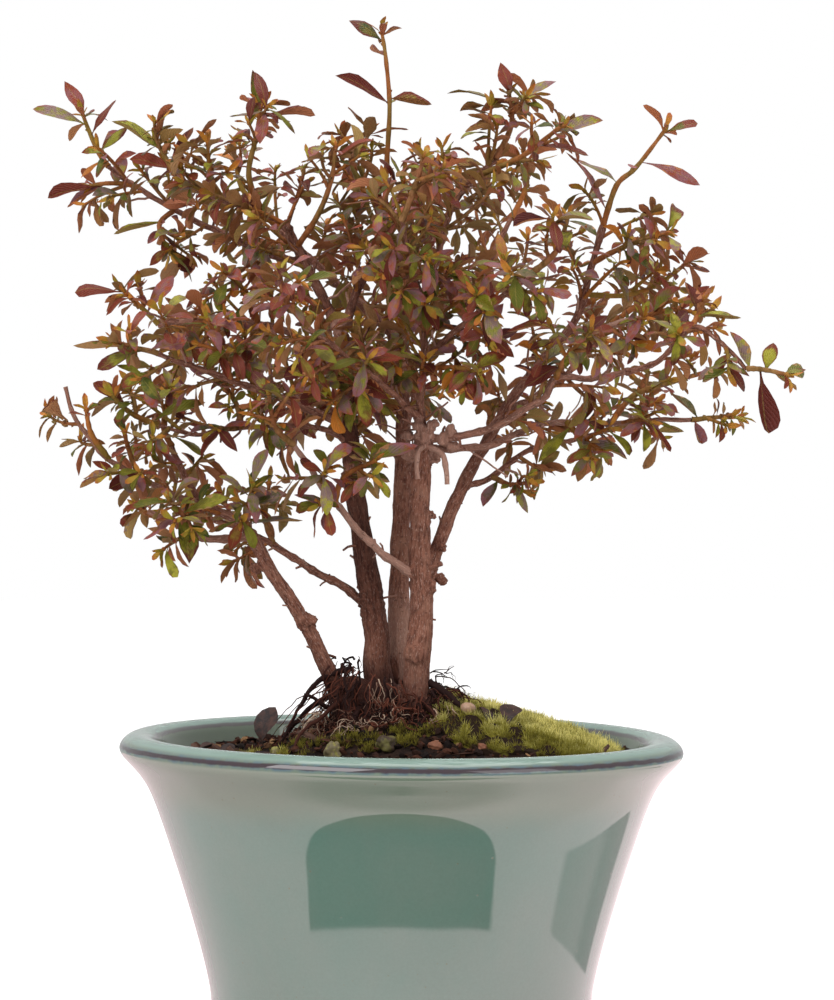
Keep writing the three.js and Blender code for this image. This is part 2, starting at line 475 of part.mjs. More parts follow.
function distanceToRod(point, rod) {
  const run = rod.end.clone().sub(rod.start);
  const share = point.clone().sub(rod.start).dot(run) / run.lengthSq();
  const nearest = rod.start.clone().addScaledVector(run, THREE.MathUtils.clamp(share, 0, 1));
  return nearest.distanceTo(point);
}

function spotsOf(leaf) {
  return SPOT_STATIONS.flatMap((s) => {
    const { centre, right } = bladeFrame(leaf, s);
    const half = s < 1 ? leaf.width * 0.4 : 0;
    return [-half, 0, half].map((side) => centre.clone().addScaledVector(right, side));
  });
}

function isClear(spots, owner) {
  for (const spot of spots) {
    for (const rod of rods) {
      const wanted = rod.radius + (rod.owner === owner ? 0.4 : ROD_CLEARANCE);
      if (distanceToRod(spot, rod) < wanted) {
        return false;
      }
    }
    for (const other of leafSpots) {
      const wanted = other.owner === owner ? OWN_CLEARANCE : SPOT_CLEARANCE;
      if (spot.distanceToSquared(other.spot) < wanted * wanted) {
        return false;
      }
    }
  }
  return true;
}

function alongChain(points, share) {
  const place = share * (points.length - 1);
  const i = Math.min(Math.floor(place), points.length - 2);
  const run = points[i + 1].clone().sub(points[i]);
  return { point: points[i].clone().addScaledVector(run, place - i), along: run.normalize() };
}

const TRIES = 7;
const TRY_TURN = 0.9;
const LIGHT = 1.3; // how far the leaves turn their faces to the sky

// Leans from the twig's line by an angle, at a turn round it
function leaning(along, lean, turn) {
  const [across, over] = squareTo(along);
  const out = across.multiplyScalar(Math.cos(turn)).addScaledVector(over, Math.sin(turn));
  const direction = along.clone().multiplyScalar(Math.cos(lean)).addScaledVector(out, Math.sin(lean));
  const up = along.clone().multiplyScalar(Math.sin(lean)).addScaledVector(out, -Math.cos(lean));
  return { direction, up };
}

function squareUp(up, along) {
  return up.addScaledVector(along, -up.dot(along)).normalize();
}

function placeLeaf(base, along, lean, turn, length, width, curl, owner) {
  for (let attempt = 0; attempt < TRIES; attempt++) {
    const { direction, up } = leaning(along, lean, turn + attempt * TRY_TURN);
    up.z += LIGHT;
    const leaf = { base, along: direction, up: squareUp(up, direction), length, width, curl };
    const spots = spotsOf(leaf);
    if (isClear(spots, owner)) {
      spots.forEach((spot) => leafSpots.push({ spot, owner }));
      return [leaf];
    }
  }
  return [];
}

// A single leaf from the nearest point of the twig to a stated tip
function singleLeaf(stem, [baseX, baseZ, tipX, tipZ, width, tipDepth], owner) {
  let best = null;
  for (let i = 0; i < stem.length - 1; i++) {
    for (let step = 0; step <= 10; step++) {
      const point = stem[i].map((value, axis) => THREE.MathUtils.lerp(value, stem[i + 1][axis], step / 10));
      const away = Math.hypot(point[0] - baseX, point[1] - baseZ);
      if (!best || away < best.away) {
        best = { away, point };
      }
    }
  }
  const base = front(best.point);
  const chord = front([tipX, tipZ, best.point[2] + tipDepth]).sub(base);
  const curl = 0.5;
  const chordLength = chord.length();
  const straight = chord.normalize();
  const lifted = squareUp(new THREE.Vector3(0, -0.5, 0.85), straight);
  const along = straight.clone().multiplyScalar(Math.cos(curl / 2)).addScaledVector(lifted, Math.sin(curl / 2));
  const up = squareUp(lifted, along);
  const length = chordLength * (curl / 2) / Math.sin(curl / 2);
  const leaf = { base, along, up, length, width, curl };
  spotsOf(leaf).forEach((spot) => leafSpots.push({ spot, owner }));
  return leaf;
}

const SIDE_TWIG_LEAVES = 3;
const SIDE_TWIG_RADIUS = 0.75;
const TWIG_SIDES = 3;
const WHORL_INSET = 0.7; // the whorl's first leaf from the twig's end
const WHORL_STEP = 1.3;

function growLeaves(twig, count, start, draw, owner, size) {
  const { point, along } = alongChain(twig, 1);
  const leaves = [];
  for (let k = 0; k < count; k++) {
    const base = point.clone().addScaledVector(along, -WHORL_INSET - WHORL_STEP * k);
    const lean = 0.55 + 0.75 * draw();
    const turn = start + 2.4 * k + 0.5 * draw();
    const length = LEAF_LENGTH * (0.62 + 0.5 * draw()) * size;
    const width = length * (0.27 + 0.12 * draw());
    const curl = 0.5 + 0.9 * draw();
    leaves.push(...placeLeaf(base, along, lean, turn, length, width, curl, owner));
  }
  return leaves;
}

function growBranchlet(name, index) {
  const [, stemPoints, sideTwigs, whorl, alongCount, singles] = BRANCHLETS[name];
  const size = SMALL_LEAVED[name] ?? 1;
  const draw = seeded(1000 + 37 * index);
  const stem = stemPoints.map(front);
  const twigs = [];
  for (let k = 0; k < sideTwigs; k++) {
    const { point, along } = alongChain(stem, 0.4 + 0.35 * draw());
    const lean = 0.7 + 0.35 * draw();
    const turn = 6.28 * draw();
    const length = 10 + 6 * draw();
    for (let attempt = 0; attempt < TRIES; attempt++) {
      const { direction } = leaning(along, lean, turn + attempt * TRY_TURN);
      const twig = [point, point.clone().addScaledVector(direction, length)];
      const probes = [0.5, 0.75, 1].map((share) => alongChain(twig, share).point);
      if (isClear(probes, name)) {
        twigs.push(twig);
        addRods(twig, SIDE_TWIG_RADIUS, SIDE_TWIG_RADIUS, name);
        break;
      }
    }
  }
  const leaves = growLeaves(stem, whorl, 6.28 * draw(), draw, name, size);
  for (const twig of twigs) {
    leaves.push(...growLeaves(twig, SIDE_TWIG_LEAVES, 6.28 * draw(), draw, name, size));
  }
  for (let k = 0; k < alongCount; k++) {
    const { point, along } = alongChain(stem, 0.45 + 0.45 * (k + draw()) / alongCount);
    const lean = 0.95 + 0.4 * draw();
    const turn = 6.28 * draw();
    const length = LEAF_LENGTH * (0.55 + 0.4 * draw()) * size;
    const width = length * (0.27 + 0.12 * draw());
    leaves.push(...placeLeaf(point, along, lean, turn, length, width, 0.5 + 0.8 * draw(), name));
  }
  return { stem, twigs, leaves, name };
}

function branchletSolid({ stem, twigs, leaves }, woodSpace) {
  const solids = [limb(stem, TWIG_RADIUS, TWIG_END, TWIG_SIDES)];
  twigs.forEach((twig) => solids.push(limb(twig, SIDE_TWIG_RADIUS, SIDE_TWIG_RADIUS, TWIG_SIDES)));
  leaves.forEach((leaf) => solids.push(blade(leaf)));
  return mainBody(union(solids).subtract(woodSpace));
}

// ---- Moss, and the loose things that lie on the mound ----

function mossThickness(x, y) {
  const reach = Math.hypot((x - MOSS_CENTRE[0]) / MOSS_HALF[0], (y - MOSS_CENTRE[1]) / MOSS_HALF[1]);
  return 1 + (MOSS_THICK - 1) * Math.max(0, 1 - reach ** 3) + 0.5 * Math.sin(x * 0.9) * Math.cos(y * 0.8);
}

function moss(soilSpace, woodSpace) {
  const outline = [[0, 0], [1, 0], [1, 1], [0.72, 1], [0.38, 1], [0, 1]];
  const lathe = new THREE.LatheGeometry(outline.map(([r, z]) => new THREE.Vector2(r, z)), 18);
  lathe.rotateX(Math.PI / 2);
  const place = lathe.attributes.position;
  for (let i = 0; i < place.count; i++) {
    const turn = Math.atan2(place.getY(i), place.getX(i));
    const edge = 1 + 0.07 * Math.sin(3 * turn + 1) + 0.05 * Math.sin(5 * turn);
    const x = MOSS_CENTRE[0] + place.getX(i) * edge * MOSS_HALF[0];
    const y = MOSS_CENTRE[1] + place.getY(i) * edge * MOSS_HALF[1];
    const lift = place.getZ(i) > 0.5 ? mossThickness(x, y) : -4;
    place.setXYZ(i, x, y, soilHeight(x, y) + GAP + lift);
  }
  return mainBody(toSolid(lathe).subtract(soilSpace).subtract(woodSpace));
}

// Pebbles: x, y, half sizes in x, y and z, turn
const PEBBLES = {
  pebble_mossy: [-23.5, -44, 3.2, 3, 3.6, 0.4],
  pebble_dark: [-5, -45, 4.4, 3.6, 3.2, 1.2],
};
// Chips and dead leaves, arched over the soil with both ends on it: x, y, length, width, heading
const CHIPS = {
  bark_chip_large: [-50, -24, 17, 10, 2.3],
  bark_chip_small: [-66, -8, 12, 7, 0.6],
  dead_leaf: [-40, -38, 14, 8, 3.5],
};
const CHIP_LIFT = 0.9;
const CHIP_ARCH = 0.8; // the turn from one end of a chip to the other

function pebble([x, y, halfX, halfY, halfZ, turn], soilSpace) {
  const ball = new THREE.IcosahedronGeometry(1.1, 0).scale(halfX, halfY, halfZ).rotateZ(turn);
  ball.translate(x, y, soilHeight(x, y) + halfZ * 0.5);
  return mainBody(toSolid(ball).subtract(soilSpace));
}

function chip([x, y, length, width, heading], spaces) {
  const onSoil = (away) => {
    const [endX, endY] = [x + away * Math.cos(heading), y + away * Math.sin(heading)];
    return new THREE.Vector3(endX, endY, soilHeight(endX, endY) + CHIP_LIFT);
  };
  const base = onSoil(0);
  const chord = onSoil(length).sub(base).normalize();
  const raised = squareUp(new THREE.Vector3(0, 0, 1), chord);
  const along = chord.multiplyScalar(Math.cos(CHIP_ARCH / 2)).addScaledVector(raised, Math.sin(CHIP_ARCH / 2));
  const plate = blade({ base, along, up: squareUp(raised, along), length, width, curl: CHIP_ARCH });
  return mainBody(spaces.reduce((rest, space) => rest.subtract(space), plate));
}

// ---- Assembly ----

const bonsai = new THREE.Group();

function addPiece(name, solid, color, roughness, metalness = 0) {
  const material = new THREE.MeshStandardMaterial({ color, roughness, metalness });
  const mesh = new THREE.Mesh(toGeometry(solid), material);
  mesh.name = name;
  bonsai.add(mesh);
}

const woodSpace = wood(GAP);
const mound = soilBody();
const soilSpace = mound.translate([0, 0, GAP]);
const mossMat = moss(soilSpace, woodSpace);
const mossSpace = mossMat.translate([0, 0, GAP]).add(mossMat.translate([0, 0, -GAP]));

addPiece("pot", pot(), "#8fb5a6", 0.15);
addPiece("drainage_mesh", drainageMesh(), "#2c2f2d", 0.6);
addPiece("mesh_clip", meshClip(), "#b9bcbd", 0.4, 1);
addPiece("soil", mainBody(mound.subtract(woodSpace)), "#3d2c22", 1);
addPiece("moss", mossMat, "#86953a", 1);
addPiece("wood", wood(0), "#6b4a3c", 0.9);
for (const [name, row] of Object.entries(PEBBLES)) {
  addPiece(name, pebble(row, soilSpace), "#7d7355", 0.8);
}
for (const [name, row] of Object.entries(CHIPS)) {
  addPiece(name, chip(row, [soilSpace, mossSpace, woodSpace]), "#4a3026", 0.9);
}

for (const [start, end, , points] of Object.values(LIMBS)) {
  addRods(points.map(front), start, end, "wood");
}
for (const [name, row] of Object.entries(BRANCHLETS)) {
  addRods(row[1].map(front), TWIG_RADIUS, TWIG_END, name);
}
for (const [name, row] of Object.entries(BRANCHLETS)) {
  row.singles = row[5].map((single) => singleLeaf(row[1], single, name));
}
const LEAF_GREEN = new THREE.Color("#6c7a38");
const LEAF_BRONZE = new THREE.Color("#6e4238");
Object.entries(BRANCHLETS).forEach(([name, row], index) => {
  const branchlet = growBranchlet(name, index);
  branchlet.leaves.push(...row.singles);
  const color = LEAF_GREEN.clone().lerp(LEAF_BRONZE, row[0]);
  addPiece(name, branchletSolid(branchlet, woodSpace), color, 0.6);
});

export default bonsai;
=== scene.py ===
"""Satsuki azalea bonsai: a clump of slender stems on one root crown, with small bronze and green leaves,
on a mossy mound of soil in a round celadon pot."""
import math

import bpy
import numpy as np
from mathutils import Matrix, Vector, noise


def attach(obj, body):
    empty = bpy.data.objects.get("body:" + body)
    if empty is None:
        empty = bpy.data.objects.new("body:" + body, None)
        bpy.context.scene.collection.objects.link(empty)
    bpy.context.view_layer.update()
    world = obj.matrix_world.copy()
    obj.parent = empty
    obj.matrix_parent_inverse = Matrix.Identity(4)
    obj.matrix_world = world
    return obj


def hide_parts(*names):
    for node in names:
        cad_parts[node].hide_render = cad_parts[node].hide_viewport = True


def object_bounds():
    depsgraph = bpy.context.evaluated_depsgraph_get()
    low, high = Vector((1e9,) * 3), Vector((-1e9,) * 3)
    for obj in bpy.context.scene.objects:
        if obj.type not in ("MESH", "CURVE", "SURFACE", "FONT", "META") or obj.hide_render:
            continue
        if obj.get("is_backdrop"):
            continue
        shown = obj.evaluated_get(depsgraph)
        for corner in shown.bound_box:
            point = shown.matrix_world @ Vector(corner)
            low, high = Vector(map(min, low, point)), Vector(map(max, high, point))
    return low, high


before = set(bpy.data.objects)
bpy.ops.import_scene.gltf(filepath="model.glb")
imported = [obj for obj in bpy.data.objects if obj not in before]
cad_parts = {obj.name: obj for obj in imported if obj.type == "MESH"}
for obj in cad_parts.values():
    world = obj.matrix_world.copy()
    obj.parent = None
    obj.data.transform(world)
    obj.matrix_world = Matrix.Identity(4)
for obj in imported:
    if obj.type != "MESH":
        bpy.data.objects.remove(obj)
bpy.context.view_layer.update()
bpy.ops.object.select_all(action="DESELECT")

# ---- Camera and view ----
# A long lens at the height of the crown looks level along +Y, and sees the pot down to just above its foot.
# The crown's points below are in millimetres, as on a front elevation from this eye: x, z and the depth.
MM = 0.001
EYE_X, EYE_DISTANCE, EYE_Z = 5.6, 1100, 198.7
CAMERA_Z = 207
VIEW_HEIGHT = 362  # what the view takes in at the pot's axis, from top to bottom
SENSOR = 36

camera_data = bpy.data.cameras.new("camera")
camera = bpy.data.objects.new("camera", camera_data)
bpy.context.scene.collection.objects.link(camera)
bpy.context.scene.camera = camera
camera_data.sensor_width = SENSOR
camera_data.lens = SENSOR * EYE_DISTANCE / VIEW_HEIGHT
camera_data.clip_start, camera_data.clip_end = 0.05, 20
camera.location = Vector((EYE_X, -EYE_DISTANCE, CAMERA_Z)) * MM
aim = Vector((EYE_X, 0, EYE_Z)) * MM - camera.location
camera.rotation_euler = aim.to_track_quat("-Z", "Y").to_euler()
bpy.context.scene.view_settings.view_transform = "Standard"


# ---- Floor and studio light ----
# A pale floor in a white room, with broad soft lights above. A bowl of white cloth with two dark windows lies
# round the pot where only gloss mirrors it: it puts the soft veil and the darker panes on the glazed wall.
def node(tree, kind, settings=None, **inputs):
    """A shader node with its settings, and its inputs by name set to a value or linked to a socket."""
    made = tree.nodes.new("ShaderNode" + kind)
    for name, value in (settings or {}).items():
        setattr(made, name, value)
    for name, value in inputs.items():
        put(tree, made.inputs[name.replace("_", " ")], value)
    return made


def put(tree, socket, value):
    if isinstance(value, bpy.types.NodeSocket):
        tree.links.new(value, socket)
    else:
        socket.default_value = value


def calculate(tree, operation, *values, clamp=False):
    made = tree.nodes.new("ShaderNodeMath")
    made.operation, made.use_clamp = operation, clamp
    for socket, value in zip(made.inputs, values):
        put(tree, socket, value)
    return made.outputs[0]


def times(tree, *values):
    """The product of several values."""
    product = values[0]
    for value in values[1:]:
        product = calculate(tree, "MULTIPLY", product, value)
    return product


def plus(tree, *values):
    """The sum of several values."""
    total = values[0]
    for value in values[1:]:
        total = calculate(tree, "ADD", total, value)
    return total


def blended(tree, share, first, second, how="MIX"):
    made = tree.nodes.new("ShaderNodeMix")
    made.data_type, made.blend_type = "RGBA", how
    for index, value in ((0, share), (6, first), (7, second)):
        put(tree, made.inputs[index], value if isinstance(value, (bpy.types.NodeSocket, float, int)) else (*value, 1))
    return made.outputs[2]


def stepped(tree, value, low, high):
    """0 below low and 1 above high, smooth between."""
    made = tree.nodes.new("ShaderNodeMapRange")
    made.interpolation_type = "SMOOTHSTEP"
    for socket, number in zip(made.inputs, (value, low, high, 0.0, 1.0)):
        put(tree, socket, number)
    return made.outputs[0]


def finish_of(name, roughness):
    """A new material, its node tree, its shader and the object's own coordinates."""
    material = bpy.data.materials.new(name)
    material.use_nodes = True
    tree = material.node_tree
    shader = tree.nodes["Principled BSDF"]
    shader.inputs["Roughness"].default_value = roughness
    place = tree.nodes.new("ShaderNodeTexCoord").outputs["Object"]
    return material, tree, shader, place


def speckled(tree, place, scale, detail=4.0, stretch=(1, 1, 1), roughness=0.6):
    """Noise over the object's own coordinates, with its grain stretched along each axis."""
    mapping = node(tree, "Mapping", Vector=place, Scale=stretch)
    made = node(tree, "TexNoise", Vector=mapping.outputs[0], Scale=scale, Detail=detail, Roughness=roughness)
    return made.outputs["Fac"]


def coloured(tree, shader, colour, specular=None):
    """Links a surface's colour, and sets its specular level where it isn't the usual one."""
    tree.links.new(colour, shader.inputs["Base Color"])
    if specular is not None:
        shader.inputs["Specular IOR Level"].default_value = specular


def bumped(tree, shader, height, strength, distance):
    bump = node(tree, "Bump", Strength=strength, Distance=distance, Height=height)
    tree.links.new(bump.outputs[0], shader.inputs["Normal"])


def new_object(name, mesh, *materials):
    """An object at the origin, unturned, for a finished mesh."""
    made = bpy.data.objects.new(name, mesh)
    bpy.context.scene.collection.objects.link(made)
    for material in materials:
        mesh.materials.append(material)
    return made


FLOOR_HALF = 4
ROOM_LIGHT = 0.62  # of the room's white walls, where they light the plant
FLOOR_LIFT = 0.4  # the floor's own glow, which the camera sees and the plant doesn't
bpy.ops.mesh.primitive_plane_add(size=2 * FLOOR_HALF)
floor = bpy.context.object
floor.name = "floor"
floor_white, tree, shader, place = finish_of("floor_white", 0.9)
grain = speckled(tree, place, 60)
coloured(tree, shader, blended(tree, grain, (0.93, 0.93, 0.93), (0.96, 0.96, 0.96)))
shader.inputs["Emission Color"].default_value = (1, 1, 1, 1)
seen = tree.nodes.new("ShaderNodeLightPath").outputs["Is Camera Ray"]
put(tree, shader.inputs["Emission Strength"], times(tree, seen, FLOOR_LIFT))
floor.data.materials.append(floor_white)
floor.visible_glossy = False
floor.select_set(False)
floor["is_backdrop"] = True

world = bpy.data.worlds.new("white_room")
world.use_nodes = True
backdrop = world.node_tree.nodes["Background"]
backdrop.inputs["Color"].default_value = (1, 1, 1, 1)
seen = world.node_tree.nodes.new("ShaderNodeLightPath").outputs["Is Camera Ray"]
put(world.node_tree, backdrop.inputs["Strength"],
    calculate(world.node_tree, "MULTIPLY_ADD", seen, 1 - ROOM_LIGHT, ROOM_LIGHT))
bpy.context.scene.world = world

# name, place, aimed at, width and height in metres, power in watts
for name, place, target, width, height, power in (
    ("key_light", (-0.9, -1.1, 1.5), (0, 0, 0.2), 1.2, 0.9, 21),
    ("fill_light", (1.1, -0.9, 0.9), (0, 0, 0.2), 0.9, 0.9, 6),
    ("top_light", (0.1, 0.3, 1.7), (0, 0, 0.2), 1.3, 1.3, 17),
):
    lamp = bpy.data.lights.new(name, "AREA")
    lamp.shape, lamp.size, lamp.size_y, lamp.energy = "RECTANGLE", width, height, power
    light = bpy.data.objects.new(name, lamp)
    light.location = place
    light.rotation_euler = (Vector(target) - light.location).to_track_quat("-Z", "Y").to_euler()
    light.visible_camera = False
    bpy.context.scene.collection.objects.link(light)

TENT_RADIUS, TENT_RIM = 12, -1.7
bpy.ops.mesh.primitive_uv_sphere_add(segments=96, ring_count=48, radius=TENT_RADIUS)
tent = bpy.context.object
tent.name = "light_tent"
bpy.ops.object.mode_set(mode="EDIT")
bpy.ops.mesh.select_all(action="SELECT")
bpy.ops.mesh.bisect(plane_co=(0, 0, TENT_RIM), plane_no=(0, 0, 1), clear_outer=True)
bpy.ops.object.mode_set(mode="OBJECT")
tent.visible_camera = tent.visible_diffuse = tent.visible_shadow = tent.visible_transmission = False
tent.select_set(False)
tent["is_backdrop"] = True
tent_cloth = bpy.data.materials.new("tent_cloth")
tent_cloth.use_nodes = True
tree = tent_cloth.node_tree
tree.nodes.clear()
xyz = node(tree, "SeparateXYZ", Vector=tree.nodes.new("ShaderNodeTexCoord").outputs["Object"])
turn = calculate(tree, "DEGREES", calculate(tree, "ARCTAN2", xyz.outputs[0], times(tree, xyz.outputs[1], -1.0)))
pitch = calculate(tree, "DEGREES", calculate(tree, "ARCSINE", calculate(tree, "DIVIDE", xyz.outputs[2], TENT_RADIUS)))
squared = times(tree, turn, turn)


def past_line(tree, value, slope, start):
    """How far the pitch is over a line that starts at a pitch and rises with a value."""
    return calculate(tree, "SUBTRACT", pitch, calculate(tree, "MULTIPLY_ADD", value, slope, start))


def brighter(tree, value, low, high, least, added):
    """A brightness that grows from its least by what is added, while the value goes from low to high."""
    return calculate(tree, "MULTIPLY_ADD", stepped(tree, value, low, high), added, least)


# the front window lies between two arches over the turn from straight ahead, in degrees, and ends in two steps
lower_side = stepped(tree, past_line(tree, squared, 0.0082, -63.3), -0.6, 0.9)
upper_side = past_line(tree, squared, 0.00132, -41.75)
upper_side = stepped(tree, calculate(tree, "MULTIPLY_ADD", turn, 0.0036, upper_side), 0.06, -0.08)
right_side = plus(tree, times(tree, stepped(tree, turn, 55.0, 52.0), 0.55),
                  times(tree, stepped(tree, turn, 66.0, 62.5), 0.45))
pane = times(tree, lower_side, upper_side, right_side, stepped(tree, turn, -58.0, -55.0))
# the side window is a slanting slit to the right, wider towards the back
slit = times(tree, stepped(tree, past_line(tree, turn, 0.24, -54.6), -0.15, 0.15),
             stepped(tree, past_line(tree, turn, 0.279, -57.0), 0.1, -0.1),
             stepped(tree, turn, 142.0, 139.0), stepped(tree, turn, 93.0, 98.0),
             brighter(tree, turn, 117.0, 127.0, 0.45, 0.22))
cloth = calculate(tree, "SUBTRACT", 1.0, calculate(tree, "MAXIMUM", pane, slit))
# the cloth is brightest in front and to the right, and falls off towards the back and the floor
TENT_FRONT, TENT_BACK, TENT_FALL, PANE_GLOW = 2.6, 0.7, 1.9, 0.25
behind = calculate(tree, "DIVIDE", squared, 180.0**2)
falling = calculate(tree, "POWER", calculate(tree, "SUBTRACT", 1.0, behind, clamp=True), TENT_FALL)
bright = times(tree, calculate(tree, "MULTIPLY_ADD", falling, TENT_FRONT, TENT_BACK),
               brighter(tree, turn, 10.0, 110.0, 1.0, 0.42), brighter(tree, pitch, -41.5, -34.0, 1.0, 0.15),
               brighter(tree, pitch, -74.0, -60.0, 0.5, 0.5))
glow = node(tree, "Emission", Color=(1, 0.81, 0.84, 1),
            Strength=calculate(tree, "MULTIPLY_ADD", cloth, bright, PANE_GLOW))
tree.links.new(glow.outputs[0], tree.nodes.new("ShaderNodeOutputMaterial").inputs["Surface"])
tent.data.materials.append(tent_cloth)

# ---- Pot ----
# Wheel-thrown stoneware with a wide rolled lip and a foot ring, under a glossy celadon glaze. The glaze runs
# thin on the lip's edge, where it breaks to a dark line with a blue fringe; the dark line is also a painted
# reflection of the dark room at the horizon. Turned here as one profile.
POT_SEGMENTS = 144
POT_LEAN = 0.0125  # it left the wheel a little out of true: its rim falls to the right by this share
POT_OUTER = [(69.4, 0), (70.4, 2), (70.2, 6), (68.9, 14), (69.1, 20.6), (70.2, 27), (72.1, 35), (74.8, 45),
             (77.75, 55), (80.85, 65), (84.1, 75), (86.8, 83), (89, 89), (90.7, 93), (92.25, 96), (94.25, 99),
             (96.3, 101.5), (98.7, 104), (100.7, 106.2)]
POT_LIP = [(101.6, 107.8), (101.8, 109), (101.3, 110.5), (100.1, 112), (98.1, 113.3), (95.5, 113.9),
           (92.6, 113.6), (90.3, 112.5), (88.9, 110.9), (88.2, 109)]
POT_INNER = [(86.3, 102), (83.9, 93.5), (77.8, 74.3), (72.6, 56.5), (68.6, 41), (65.6, 24), (62, 15), (57, 12.2)]
POT_BASE = [(9.2, 12), (8.8, 11.6), (8.8, 6.4), (9.2, 6), (59, 6), (61, 4.5), (62, 0)]


def rounded(points, steps):
    """A smooth curve through a chain of points, with so many steps to each stretch."""
    points = [np.asarray(point, float) for point in points]
    curve = []
    for i in range(len(points) - 1):
        before, start = points[max(i - 1, 0)], points[i]
        end, after = points[i + 1], points[min(i + 2, len(points) - 1)]
        for t in np.arange(steps) / steps:
            curve.append(0.5 * (2 * start + (end - before) * t + (2 * before - 5 * start + 4 * end - after) * t * t
                                + (3 * start - before - 3 * end + after) * t ** 3))
    return curve + [points[-1]]


def store(mesh, name, kind, field, values, domain="POINT"):
    """Stores a named value for each point or corner of a mesh."""
    mesh.attributes.new(name, kind, domain).data.foreach_set(field, np.asarray(values, np.float32).ravel())


profile = rounded(POT_OUTER + POT_LIP, 3) + rounded(POT_INNER, 2) + [np.array(point, float) for point in POT_BASE]
pot_mesh = bpy.data.meshes.new("pot_glazed")
pot_mesh.from_pydata([(r * MM, 0, z * MM) for r, z in profile],
                     [(i, (i + 1) % len(profile)) for i in range(len(profile))], [])
pot = new_object("pot_glazed", pot_mesh)
bpy.context.view_layer.objects.active = pot
pot.select_set(True)
bpy.ops.object.mode_set(mode="EDIT")
bpy.ops.mesh.select_all(action="SELECT")
bpy.ops.mesh.spin(steps=POT_SEGMENTS, angle=2 * math.pi, center=(0, 0, 0), axis=(0, 0, 1), use_normal_flip=False)
bpy.ops.mesh.select_all(action="SELECT")
bpy.ops.mesh.remove_doubles(threshold=0.00002)
bpy.ops.mesh.normals_make_consistent(inside=False)
bpy.ops.object.mode_set(mode="OBJECT")
bpy.ops.object.shade_smooth_by_angle(angle=math.radians(50))
pot.select_set(False)

store(pot_mesh, "fired_height", "FLOAT", "value", [vertex.co.z for vertex in pot_mesh.vertices])
for vertex in pot_mesh.vertices:
    share = vertex.co.z / (POT_LIP[5][1] * MM)
    vertex.co.z -= POT_LEAN * vertex.co.x * share


def grained(tree, share, colour, noise, dark, pale):
    """A colour multiplied by a share of what runs from dark to pale with the noise."""
    return blended(tree, share, colour, blended(tree, noise, dark, pale), "MULTIPLY")


GLAZE, GLAZE_GREY, GLAZE_PALE = (0.073, 0.136, 0.108), (0.094, 0.138, 0.112), (0.16, 0.235, 0.205)
# the lip's dark line is partly thin glaze and partly a painted reflection of the dark room
LIP_THIN_GLAZE_AND_REFLECTION, LIP_BLUE, INNER_LINE = (0.03, 0.017, 0.022), (0.045, 0.085, 0.135), (0.075, 0.06, 0.07)
SHOULDER_STRAW, SPECK, BARE_CLAY = (0.15, 0.15, 0.1), (0.1, 0.09, 0.05), (0.33, 0.22, 0.15)
LINE_HEIGHT, INNER_LINE_HEIGHT = 0.1102, 0.1115
GLAZE_ROUGHNESS = 0.02
celadon, tree, shader, place = finish_of("celadon_glaze", GLAZE_ROUGHNESS)
xyz = node(tree, "SeparateXYZ", Vector=place)
flat = node(tree, "CombineXYZ", X=xyz.outputs[0], Y=xyz.outputs[1])
radius = node(tree, "VectorMath", {"operation": "LENGTH"}, Vector=flat.outputs[0]).outputs["Value"]
height = node(tree, "Attribute", {"attribute_name": "fired_height"}).outputs["Fac"]
cloud = speckled(tree, place, 22, 5)
run = speckled(tree, place, 60, 3, (1, 1, 0.15))
tone = plus(tree, times(tree, cloud, 0.7), times(tree, run, 0.3))
colour = blended(tree, stepped(tree, tone, 0.3, 0.72), GLAZE, GLAZE_GREY)
grainy = speckled(tree, place, 1100, 3)
colour = grained(tree, 0.18, colour, grainy, (0.5, 0.5, 0.5), (1.5, 1.5, 1.5))
colour = blended(tree, times(tree, stepped(tree, height, 0.086, 0.098), 0.45), colour, SHOULDER_STRAW)
colour = blended(tree, times(tree, stepped(tree, height, 0.1112, 0.1128), 0.85), colour, GLAZE_PALE)
wander = times(tree, calculate(tree, "SUBTRACT", speckled(tree, place, 130, 4), 0.5), 0.0012)
drift = times(tree, calculate(tree, "SUBTRACT", speckled(tree, place, 9, 2), 0.5), 0.0016)
edge_height = plus(tree, height, plus(tree, wander, drift))


def off_height(tree, line_height):
    return calculate(tree, "ABSOLUTE", calculate(tree, "SUBTRACT", edge_height, line_height))


# the dark line lies just over the lip's widest round, with a blue fringe on both its sides: it is partly thin
# glaze and partly a painted reflection of the dark room
outer = stepped(tree, radius, 0.0962, 0.0975)
off_line = off_height(tree, LINE_HEIGHT)
fringe = times(tree, outer, stepped(tree, off_line, 0.002, 0.0008),
               stepped(tree, speckled(tree, place, 260, 4), 0.25, 0.7))
colour = blended(tree, times(tree, fringe, 0.7), colour, LIP_BLUE)
colour = blended(tree, times(tree, outer, stepped(tree, off_line, 0.0011, 0.0004), 0.95), colour, LIP_THIN_GLAZE_AND_REFLECTION)
inner = times(tree, stepped(tree, radius, 0.0908, 0.0898),
              stepped(tree, off_height(tree, INNER_LINE_HEIGHT), 0.0011, 0.0003))
colour = blended(tree, times(tree, inner, 0.8), colour, INNER_LINE)
specks = node(tree, "TexVoronoi", Vector=place, Scale=260.0, Randomness=1.0).outputs["Distance"]
dots = times(tree, stepped(tree, specks, 0.11, 0.05), stepped(tree, speckled(tree, place, 90, 2), 0.52, 0.62))
colour = blended(tree, times(tree, dots, 0.6), colour, SPECK)
foot_bare = stepped(tree, edge_height, 0.0024, 0.0012)
coloured(tree, shader, blended(tree, foot_bare, colour, BARE_CLAY))
tree.links.new(plus(tree, times(tree, foot_bare, 0.7), GLAZE_ROUGHNESS), shader.inputs["Roughness"])
waves = plus(tree, speckled(tree, place, 14, 2), times(tree, dots, -0.25))
bumped(tree, shader, waves, 0.1, 0.001)
pot_mesh.materials.append(celadon)
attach(pot, "root")
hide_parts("pot")
mirroring = bpy.data.collections.new("mirrors_the_tent")
mirroring.objects.link(pot)
tent.light_linking.receiver_collection = mirroring

